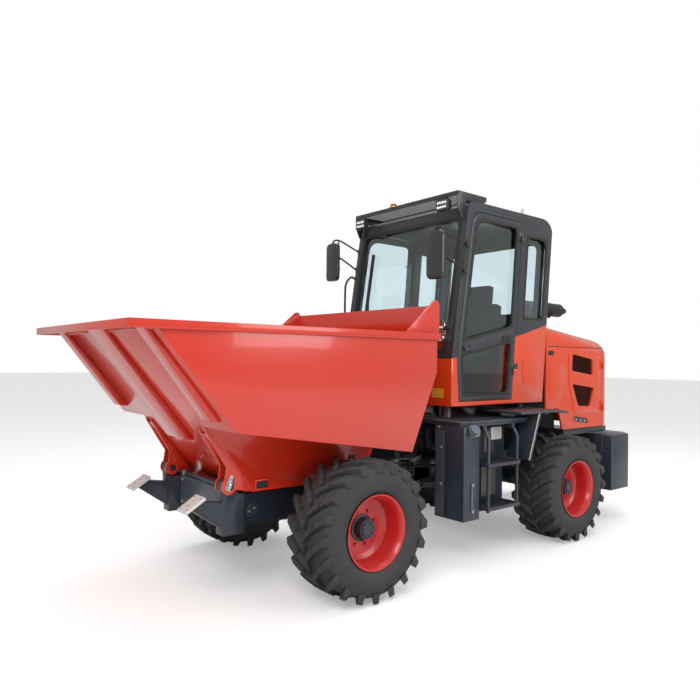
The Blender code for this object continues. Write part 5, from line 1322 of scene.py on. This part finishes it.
def makeFrontFrameDetails():
    spec = frontFrame
    half, lowZ, highZ, y = spec["half"], spec["lowZ"], spec["highZ"], spec["plateY"]
    outline = [(-half, lowZ), (half, lowZ), (half, highZ), (-half, highZ)]
    cover = plateObject(roundedOutline(outline, [0.012, 0.075, 0.012, 0.012]), y - 0.0075, y - 0.0003, "Y",
                        0.0015)
    cover.name = "front_cover_plate"
    finished(cover, "front_body", "chassis_navy", "slatePaint")
    boltsAt("cover_bolts", [((x, y - 0.007, z), (0, -1, 0)) for x in (-half + 0.03, half - 0.03)
                            for z in (lowZ + 0.045, highZ - 0.03)], 0.009, "front_body")
    # bright collars on the tube along the front plate's top
    collars = [latheObject("collar", [(x0, 0.0182), (x0, 0.026), (x0 + 0.004, 0.028), (x0 + 0.030, 0.028),
                                      (x0 + 0.034, 0.026), (x0 + 0.034, 0.0182)], (0, y + 0.01, 0.760), 28)
               for x0 in (-0.300, 0.262)]
    bm = bmesh.new()
    for item in collars:
        bm.from_mesh(item.data)
        bpy.data.objects.remove(item)
    ends = [edge for edge in bm.edges if edge.is_boundary]
    bmesh.ops.holes_fill(bm, edges=ends, sides=40)
    finished(smoothed(fromBmesh("tube_collars", bm), 30), "front_body", "steel", "zinc")
    # boss with its bolts on each beam, and a flanged seam round the beam's end
    bosses, studs, straps = [], [], []
    for side in (1, -1):
        x = side * spec["beamX"]
        bosses.append(latheObject("boss", [(0, 0), (0, 0.047), (side * 0.005, 0.047), (side * 0.006, 0.044),
                                           (side * 0.006, 0.036), (side * 0.003, 0.034), (side * 0.003, 0)],
                                  (x, spec["bossY"], spec["bossZ"]), 36))
        studs += [((x + side * 0.0025, spec["bossY"] + dy, spec["bossZ"] + dz), (side, 0, 0))
                  for dy, dz in ((-0.020, -0.006), (0.016, 0.012))]
        for low, high, yy in ((0.505, 0.705, -1.785), (0.505, 0.705, -1.775)):
            a, b = mirroredRange(spec["beamX"] - 0.002, spec["beamX"] + 0.006, side)
            straps.append(boxObject((a, yy, low), (b, yy + 0.006, high), 0.001))
        a, b = mirroredRange(spec["beamX"] - 0.002, spec["beamX"] + 0.004, side)
        straps.append(boxObject((a, -1.765, 0.700), (b, -1.20, 0.7085), 0.001))
    finished(joined("beam_bosses", bosses + straps), "front_body", "chassis_navy", "chassisNavy")
    boltsAt("boss_bolts", studs, 0.007, "front_body")


makeFrontFrameDetails()
print("skip and front frame detailed")

deck = dict(half=0.90, topZ=1.140, lipZ=1.100, frontY=-0.12, stepY=0.68, tankX=0.90, tankFrontY=-0.13,
            innerX=0.74)


def makeDeckDetails():
    spec = deck
    half, top = spec["half"], spec["topZ"]
    lips = []
    for side in (1, -1):
        edge = [(side * 0.60, spec["frontY"] - 0.002, top - 0.006),
                (side * (half - 0.06), spec["frontY"] - 0.002, top - 0.006),
                (side * (half + 0.002), spec["frontY"] + 0.06, top - 0.006),
                (side * (half + 0.002), spec["stepY"] - 0.005,
                                                                             top - 0.006)]
        lips.append(tubeObject(edge, 0.0075, 10, 0.03))
    finished(joined("deck_lips", lips), "rear_body", "chassis_navy", "slatePaint")
    # raised tread pattern on the deck's outer strips
    for side, sideName in sides:
        low, high = mirroredRange(0.715, 0.885, side)
        stud = ringPlate(0.030, 0.012, 0.0059, 0.003, "Z", 8)
        stud.data.transform(Matrix.Translation((low + 0.012, -0.08, top)) @ Matrix.Rotation(radians(35), 4,
            "Z"))
        tread = gridOf(stud, 5, 26, (0.036, 0, 0), (0, 0.029, 0), "chassisNavy", 0.5)
        tread.name = sideName + "_deck_tread"
        finished(smoothed(tread), "rear_body", "chassis_navy", "chassisNavy")
    # filler neck and ribbed cap at the near tank's front corner
    foot, head = Vector((0.868, -0.030, 1.030)), Vector((0.935, -0.045, 1.076))
    tilt = (head - foot).normalized()
    place = Matrix.Translation(foot) @ Vector((0, 0, 1)).rotation_difference(tilt).to_matrix().to_4x4()
    reach = (head - foot).length
    neck = latheObject("filler_neck", [(0, 0), (0, 0.034), (reach - 0.014, 0.034), (reach - 0.012, 0.048),
                                       (reach - 0.004, 0.050), (reach - 0.004, 0)], (0, 0, 0), 40, "Z")
    neck.data.transform(place)
    finished(neck, "rear_body", "steel", "zinc")
    cap = [latheObject("cap", [(reach - 0.0035, 0), (reach - 0.0035, 0.040), (reach + 0.018, 0.039),
                               (reach + 0.025, 0.032),
                               (reach + 0.027, 0)], (0, 0, 0), 40, "Z")]
    rib = boxObject((0.037, -0.0025, reach), (0.0425, 0.0025, reach + 0.018), 0.001)
    rib.data.transform(Matrix(((0, 0, 1, 0), (1, 0, 0, 0), (0, 1, 0, 0), (0, 0, 0, 1))))
    cap.append(ringOf(rib, 20, 0.0, "mirrorBlack", (0, 0, 0)))
    cap[1].data.transform(Matrix(((0, 1, 0, 0), (0, 0, 1, 0), (1, 0, 0, 0), (0, 0, 0, 1))))
    capObject = joined("filler_cap", cap)
    capObject.data.transform(place)
    finished(capObject, "rear_body", "black_plastic", "capGrey")
    # sight gauge on the near tank: channel with a bolt at each end
    a, b = spec["tankX"] - 0.001, spec["tankX"] + 0.008
    gauge = plateObject(roundedOutline([(-0.048, 0.425), (-0.010, 0.425), (-0.010, 0.665), (-0.048, 0.665)],
                                       0.012), a, b,
                        "X", 0.002, [roundedOutline([(-0.038, 0.465), (-0.020, 0.465), (-0.020, 0.625),
                                                     (-0.038, 0.625)], 0.005)], "sight_gauge")
    finished(gauge, "rear_body", "chassis_navy", "slatePaint")
    pane = plateObject([(-0.0385, 0.4645), (-0.0195, 0.4645), (-0.0195, 0.6255), (-0.0385, 0.6255)], a,
                       a + 0.003, "X")
    pane.name = "gauge_pane"
    finished(pane, "rear_body", "glass", "gaugePane")
    boltsAt("gauge_bolts", [((b, -0.029, z), (1, 0, 0)) for z in (0.443, 0.648)], 0.0095, "rear_body")
    # clamp strips down both tanks' front faces, seams, and edge flanges
    strips, studs = [], []
    for side in (1, -1):
        low, high = mirroredRange(0.615, 0.700, side)
        y = spec["tankFrontY"]
        strips.append(plateObject([(low, 0.385), (high, 0.385), (high, 1.060), (low, 1.060)], y - 0.006,
                                  y - 0.0002, "Y",
                                  0.0015))
        edgeX = mirroredRange(0.697, 0.703, side)
        strips.append(boxObject((edgeX[0], y - 0.022, 0.385), (edgeX[1], y - 0.0002, 1.060), 0.001))
        studs += [((side * 0.672, y - 0.006, z), (0, -1, 0)) for z in (0.638, 0.926)]
        studs += [((side * 0.645, y - 0.001, 1.085), (0, -1, 0))]
        for yy in (0.030,):
            a, b = mirroredRange(spec["tankX"] - 0.001, spec["tankX"] + 0.0025, side)
            strips.append(boxObject((a, yy, 0.39), (b, yy + 0.008, 1.08), 0.001))
    finished(joined("tank_strips", strips), "rear_body", "chassis_navy", "slatePaint")
    boltsAt("tank_bolts", studs, 0.0095, "rear_body")
    # box with a door between the steps' rails, and a blank pale plate on it
    boxes, locks = [], []
    for side in (1, -1):
        x = spec["innerX"]
        for (y0, y1), (z0, z1) in (((0.09, 0.235), (0.49, 0.77)), ((0.27, 0.46), (0.49, 0.77)),
                                   ((0.30, 0.44), (0.85, 1.05))):
            low, high = mirroredRange(x - 0.001, x + 0.008, side)
            boxes.append(plateObject(roundedOutline([(y0, z0), (y1, z0), (y1, z1), (y0, z1)], 0.010), low,
                                     high, "X", 0.002))
            locks.append(((side * (x + 0.0078), (y0 + y1) / 2, z1 - 0.03), (side, 0, 0)))
    finished(joined("tank_doors", boxes), "rear_body", "chassis_navy", "toolboxGrey")
    boltsAt("tank_door_locks", locks, 0.008, "rear_body")
    blank = plateObject(roundedOutline([(0.39, 0.955), (0.53, 0.955), (0.53, 1.060), (0.39, 1.060)], 0.006),
                        spec["innerX"] - 0.001, spec["innerX"] + 0.0105, "X", 0.001)
    blank.name = "blank_pale_plate"
    finished(blank, "rear_body", "steel", "whitePaint")
    # pressed grip slots in the step treads
    for side, sideName in sides:
        tooth = boxObject((0, 0, 0), (0.150, 0.010, 0.0035), 0.0012, 1)
        low, high = mirroredRange(0.765, 0.915, side)
        tooth.data.transform(Matrix.Translation((low, 0.130, 0.4545)))
        grips = gridOf(tooth, 9, 2, (0, 0.045, 0), (0, 0, 0.345), "chassisNavy")
        grips.name = sideName + "_step_grips"
        finished(grips, "rear_body", "chassis_navy", "chassisNavy")


makeDeckDetails()

fender = dict(outer=1.00, topZ=1.200, rearY=1.15, bladeTopY=0.72, bladeFootY=0.575, bladeFootZ=0.80)


def makeFenderLips():
    # painted highlights: zinc-coloured strips along the folded edges of the blade in front of each rear wheel,
    # for the light those folds catch
    lips = []
    for side in (1, -1):
        x = side * (fender["outer"] - 0.004)
        rise = Vector((0, fender["bladeTopY"] - fender["bladeFootY"], 0.39))
        foot = Vector((x, fender["bladeFootY"] + 0.002, fender["bladeFootZ"]))
        lips.append(tubeObject([foot, foot + rise], 0.0045, 8))
        lips.append(tubeObject([foot + Vector((0, 0.018, 0)), foot + rise + Vector((0, 0.018, 0))], 0.0035,
                               8))
    finished(joined("blade_edges", lips), "rear_body", "chassis_navy", "zinc")
    rails = []
    for side in (1, -1):
        x = side * (fender["outer"] - 0.002)
        rails.append(tubeObject([(x, 0.465, fender["topZ"] - 0.010), (x, 1.03, fender["topZ"] - 0.010),
                                 (x, fender["rearY"] - 0.004, fender["topZ"] - 0.030)], 0.006, 8, 0.04))
    finished(joined("fender_edges", rails), "rear_body", "chassis_navy", "slatePaint")


makeFenderLips()
print("deck, tanks and steps detailed")

hood = dict(x=0.68, proud=0.005,
            surround=[(1.665, 1.735), (1.665, 1.42), (1.775, 1.105), (2.255, 1.105), (2.255, 1.690)],
            upper=[(1.722, 1.532), (2.104, 1.485), (2.101, 1.645), (1.734, 1.695)],
            lower=[(1.837, 1.183), (2.056, 1.172), (2.128, 1.356), (1.729, 1.401)],
            slot=[(1.765, 1.035), (2.02, 1.000), (2.02, 1.050), (1.765, 1.085)], latchY=1.365, latchZ=1.700)


def clipped(obj, outline, axis=0):
    # what lies inside an outline in (Y, Z), with the cuts closed
    bm = bmesh.new()
    bm.from_mesh(obj.data)
    area = sum(a[0] * b[1] - b[0] * a[1] for a, b in zip(outline, outline[1:] + outline[:1]))
    for a, b in zip(outline, outline[1:] + outline[:1]):
        edge = (Vector(b) - Vector(a)).normalized()
        outward = Vector((0, edge.y, -edge.x)) * (1 if area > 0 else -1)
        bmesh.ops.bisect_plane(bm, geom=bm.verts[:] + bm.edges[:] + bm.faces[:], plane_co=(0, *a),
                               plane_no=outward,
                               clear_outer=True)
        bmesh.ops.holes_fill(bm, edges=[e for e in bm.edges if e.is_boundary], sides=12)
    bmesh.ops.recalc_face_normals(bm, faces=bm.faces)
    bm.to_mesh(obj.data)
    bm.free()
    return obj


def makeHoodDetails():
    x = hood["x"]
    for side, sideName in sides:
        body = sideName + "_hood_door_body"
        panel = bpy.data.objects[sideName + "_hood_door_panel"]
        cutters = []
        for name in ("upper", "lower", "slot"):
            low, high = mirroredRange(x - 0.06, x + 0.05, side)
            cutters.append(plateObject(roundedOutline(hood[name], 0.022), low, high))
        minus(panel, cutters)
        finished(panel, body, "body_orange", "bodyOrange")
        low, high = mirroredRange(x - 0.0005, x + hood["proud"], side)
        rings = [plateObject(roundedOutline(hood["surround"], [0.04, 0.05, 0.06, 0.05, 0.05]), low, high,
                             "X", 0.002,
                             [roundedOutline(hood[name], 0.022) for name in ("upper", "lower")])]
        low, high = mirroredRange(x + 0.001, x + hood["proud"] + 0.003, side)
        rings.append(plateObject(roundedOutline([(1.690, 1.452), (2.235, 1.398), (2.235, 1.432),
                                                 (1.690, 1.490)], 0.012), low,
                                 high, "X", 0.0025))
        low, high = mirroredRange(x - 0.0005, x + 0.003, side)
        rings.append(plateObject(roundedOutline(offsetOutline(hood["slot"], -0.014), 0.02), low, high, "X",
                                 0.001,
                                 [roundedOutline(hood["slot"], 0.022)]))
        rings.append(plateObject(roundedOutline([(1.345, 1.60), (1.345, 1.235), (1.52, 1.235), (1.60, 1.42),
                                                 (1.60, 1.60)], 0.03), low, high, "X", 0.001))
        finished(joined(sideName + "_grille_surround", rings), body, "body_orange", "bodyOrange")
        # expanded sheet behind the openings
        for name in ("upper", "lower"):
            cell = ringPlate(0.030, 0.017, 0.0026, 0.002, "X", 4)
            ys, zs = [p[0] for p in hood[name]], [p[1] for p in hood[name]]
            cell.data.transform(Matrix.Translation((side * (x - 0.013), min(ys), min(zs))))
            columns, rows = int((max(ys) - min(ys)) / 0.0275) + 2, int((max(zs) - min(zs)) / 0.0072) + 2
            sheet = gridOf(cell, columns, rows, (0, 0.0275, 0), (0, 0, 0.0072), "grilleBlack", 0.5)
            sheet.name = sideName + "_" + name + "_grille"
            clipped(sheet, offsetOutline(hood[name], -0.004))
            finished(sheet, body, "black_plastic", "grilleBlack")
        low, high = mirroredRange(x - 0.012, x - 0.002, side)
        lens = plateObject(roundedOutline(offsetOutline(hood["slot"], 0.002), 0.020), low, high, "X", 0.003)
        lens.name = sideName + "_slot_lamp"
        finished(lens, body, "black_plastic", "mirrorBlack")
        boltsAt(sideName + "_slot_studs", [((side * (x - 0.0025), y, z), (side, 0, 0)) for y, z in
                                           ((1.81, 1.050), (1.89, 1.040), (1.97, 1.032))], 0.009, body,
                                           "steel",
                "lampSilver")
        # latch: a dark cup with a paddle
        y, z = hood["latchY"], hood["latchZ"]
        low, high = mirroredRange(x - 0.001, x + 0.004, side)
        outline = [(y - 0.045, z - 0.022), (y + 0.045, z - 0.022), (y + 0.045, z + 0.022),
                   (y - 0.045, z + 0.022)]
        cup = [plateObject(roundedOutline(outline, 0.020), low, high, "X", 0.001,
                           [roundedOutline(offsetOutline(outline, 0.006), 0.016)])]
        low, high = mirroredRange(x - 0.001, x + 0.0015, side)
        cup.append(plateObject(roundedOutline(offsetOutline(outline, 0.005), 0.016), low, high))
        low, high = mirroredRange(x, x + 0.007, side)
        cup.append(boxObject((low, y - 0.025, z - 0.009), (high, y + 0.030, z + 0.010), 0.003))
        finished(joined(sideName + "_hood_latch", cup), body, "black_plastic", "blackPlastic")
        # pressed panel and sill strip on the cab's side behind the door
        low, high = mirroredRange(cab["half"] - 0.0005, cab["half"] + 0.0035, side)
        pressed = [plateObject(roundedOutline([(0.905, 1.665), (0.905, 1.430), (0.935, 1.395),
                                               (1.165, 1.395),
                                               (1.165, 1.625), (1.085, 1.700), (0.940, 1.700)], 0.020), low,
                                               high, "X",
                               0.0015)]
        low, high = mirroredRange(cab["half"] - 0.0005, cab["half"] + 0.0050, side)
        pressed.append(plateObject([(cab["frontY"] + 0.01, cab["floorZ"] + 0.002),
                                    (1.195, cab["floorZ"] + 0.002),
                                    (1.195, cab["floorZ"] + 0.024),
                                    (cab["frontY"] + 0.01, cab["floorZ"] + 0.024)], low,
                                   high, "X", 0.0015))
        finished(joined(sideName + "_cab_pressings", pressed), "rear_body", "body_orange", "bodyOrange")
    # slim dark lamp strips down the rear cap's corners, and louvres across its back
    strips = []
    for side in (1, -1):
        low, high = mirroredRange(0.612, 0.624, side)
        strips.append(boxObject((low, 2.405, 1.29), (high, 2.4425, 1.62), 0.004))
    finished(joined("rear_corner_strips", strips), "rear_body", "black_plastic", "blackPlastic")
    louvre = boxObject((-0.40, 2.436, 1.22), (0.40, 2.4475, 1.238), 0.004)
    for vert in louvre.data.vertices:
        if vert.co.z > 1.23:
            vert.co.y -= 0.006
    louvres = gridOf(louvre, 1, 13, (0, 0, 0), (0, 0, 0.034), "grilleBlack")
    louvres.name = "rear_louvres"
    finished(smoothed(louvres), "rear_body", "black_plastic", "grilleBlack")
    frameRing = plateObject(roundedOutline([(-0.45, 1.19), (0.45, 1.19), (0.45, 1.68), (-0.45, 1.68)],
                                           0.05), 2.4395, 2.446,
                            "Y", 0.002, [roundedOutline([(-0.415, 1.21), (0.415, 1.21), (0.415, 1.66),
                                                         (-0.415, 1.66)],
                                                        0.03)])
    frameRing.name = "rear_louvre_frame"
    finished(frameRing, "rear_body", "body_orange", "bodyOrange")


makeHoodDetails()

exhaust = dict(x=0.24, pipeY=1.62, frontY=1.52, rearY=2.20, z=2.17, radius=0.072, pipe=0.028, footZ=1.5003)


def makeExhaust():
    spec = exhaust
    x, z, r = spec["x"], spec["z"], spec["radius"]
    y0, y1 = spec["frontY"], spec["rearY"]
    body = [(y0, 0), (y0, 0.036), (y0 + 0.006, 0.054), (y0 + 0.020, r - 0.006), (y0 + 0.030, r - 0.002)]
    for band in (0.22, 0.46):
        body += [(y0 + band, r - 0.002), (y0 + band + 0.003, r), (y0 + band + 0.027, r),
                 (y0 + band + 0.030, r - 0.002)]
    body += [(y1 - 0.030, r - 0.002), (y1 - 0.020, r - 0.006), (y1 - 0.006, 0.054), (y1, 0.034), (y1, 0)]
    parts = [latheObject("drum", body, (x, 0, z), 44, "Y"),
             tubeObject([(x, spec["pipeY"], spec["footZ"]), (x, spec["pipeY"], z - 0.02)], spec["pipe"],
                        24),
             latheObject("collar", [(1.90, 0), (1.90, 0.044), (1.915, 0.044), (1.915, 0)],
                         (x, spec["pipeY"], 0), 28, "Z"),
             latheObject("tail", [(y1 - 0.01, 0), (y1 - 0.01, 0.030), (2.278, 0.030), (2.279, 0.027),
                                  (y1 + 0.01, 0.026),
                                  (y1 + 0.01, 0)], (x, 0, z), 28, "Y")]
    for yy in (y0 + 0.235, y0 + 0.475):
        parts.append(boxObject((x - 0.012, yy - 0.012, z - r - 0.016),
                               (x + 0.012, yy + 0.012, z - r + 0.004), 0.003))
    finished(joined("exhaust_silencer", parts), "rear_body", "black_plastic", "heatBlack", "exhaust")


makeExhaust()


def makeBallastDetails():
    # lifting loops and recess plates on the weight's top, and blank reflectors behind
    loops = []
    for side in (1, -1):
        x, y, z = side * 0.52, 2.50, 0.868
        loops.append(tubeObject([(x - 0.05, y, z), (x - 0.05, y, z + 0.055), (x + 0.05, y, z + 0.055),
                                 (x + 0.05, y, z)],
                                0.009, 12, 0.04))
        loops.append(boxObject((x - 0.075, y - 0.02, z), (x + 0.075, y + 0.02, z + 0.006), 0.002))
    finished(joined("weight_loops", loops), "rear_body", "chassis_navy", "slatePaint")
    spots = []
    for side in (1, -1):
        low, high = mirroredRange(0.50, 0.60, side)
        spots.append(plateObject(roundedOutline([(low, 0.70), (high, 0.70), (high, 0.76), (low, 0.76)],
                                                0.010), 2.7440,
                                 2.7496, "Y", 0.001))
    finished(joined("weight_reflectors", spots), "rear_body", "rim_red", "rimRed")
    ridges = [boxObject((-0.66, 2.7455, z), (0.66, 2.7498, z + 0.012), 0.003) for z in (0.47, 0.83)]
    finished(joined("weight_ridges", ridges), "rear_body", "chassis_navy", "chassisNavy")
    # chain hung between the weight's shoulder and the hood's foot
    link = ringPlate(0.030, 0.018, 0.0042, 0.0042, "X", 12)
    link.data.transform(Matrix.Translation((0.70, 2.262, 0.700)) @ Matrix.Rotation(radians(90), 4, "X"))
    chain = gridOf(link, 1, 9, (0, 0, 0), (0, 0, 0.0235), "zinc")
    chain.name = "side_chain"
    finished(smoothed(chain), "rear_body", "steel", "zinc")


makeBallastDetails()
print("hood, exhaust and weight detailed")


view = dict(place=(4.11628, -3.90831, 1.61623), azimuth=50.6957, pitch=-0.8350, roll=0.7340, lens=32.5714)


def makeCamera():
    a, e, r = radians(view["azimuth"]), radians(view["pitch"]), radians(view["roll"])
    back = Vector((sin(a) * cos(e), -cos(a) * cos(e), sin(e)))
    level = (-back).cross(Vector((0, 0, 1))).normalized()
    upright = level.cross(-back)
    right = level * cos(r) + upright * sin(r)
    up = upright * cos(r) - level * sin(r)
    camera = linkObject("camera", bpy.data.cameras.new("camera"))
    camera.data.lens = view["lens"]
    camera.data.sensor_width = 36
    camera.data.clip_end = 200
    camera.matrix_world = Matrix.Translation(view["place"]) @ Matrix((right, up,
        back)).transposed().to_4x4()
    scene.camera = camera


def makeLamp(name, place, target, size, power, color):
    lamp = linkObject(name, bpy.data.lights.new(name, "AREA"))
    lamp.data.shape = "RECTANGLE"
    lamp.data.size, lamp.data.size_y = size
    lamp.data.energy = power
    lamp.data.color = color
    lamp.location = place
    lamp.rotation_euler = (Vector(target) - Vector(place)).to_track_quat("-Z", "Y").to_euler()


def makeStudio():
    bm = bmesh.new()
    bmesh.ops.create_grid(bm, x_segments=1, y_segments=1, size=60)
    floor = fromBmesh("floor", bm)
    floor.location = (0, 0, -0.001)
    ground = bpy.data.materials.new("floorPaper")
    ground.use_nodes = True
    tree = ground.node_tree
    shader = tree.nodes["Principled BSDF"]
    shader.inputs["Roughness"].default_value = 0.9
    shader.inputs["Base Color"].default_value = (0.86, 0.86, 0.86, 1)
    shader.inputs["Emission Color"].default_value = (1, 1, 1, 1)
    rays = addNode(tree, "ShaderNodeLightPath")
    glow = addMath(tree, "MULTIPLY", rays.outputs["Is Camera Ray"], 0.30)
    tree.links.new(glow, shader.inputs["Emission Strength"])
    floor.data.materials.append(ground)
    world = bpy.data.worlds.new("studio")
    scene.world = world
    world.use_nodes = True
    tree = world.node_tree
    backdrop = tree.nodes["Background"]
    rays = addNode(tree, "ShaderNodeLightPath")
    seen = addMath(tree, "MAXIMUM", rays.outputs["Is Camera Ray"], rays.outputs["Is Transmission Ray"])
    strength = addMath(tree, "MULTIPLY_ADD", seen, 0.45)
    strength.node.inputs[2].default_value = 0.55
    tree.links.new(strength, backdrop.inputs["Strength"])
    backdrop.inputs["Color"].default_value = (1, 1, 1, 1)
    makeLamp("keyLamp", (5.0, -6.5, 6.5), (0, -0.4, 0.8), (5, 4), 420, (1.0, 0.98, 0.95))
    makeLamp("fillLamp", (7.5, 2.5, 4.0), (0, 0.6, 1.0), (4, 4), 200, (0.93, 0.97, 1.0))
    makeLamp("topLamp", (-1.0, 1.0, 8.0), (0, 0, 0.8), (7, 7), 260, (1.0, 1.0, 1.0))
    scene.view_settings.view_transform = "Standard"


makeCamera()
makeStudio()
print("studio ready")
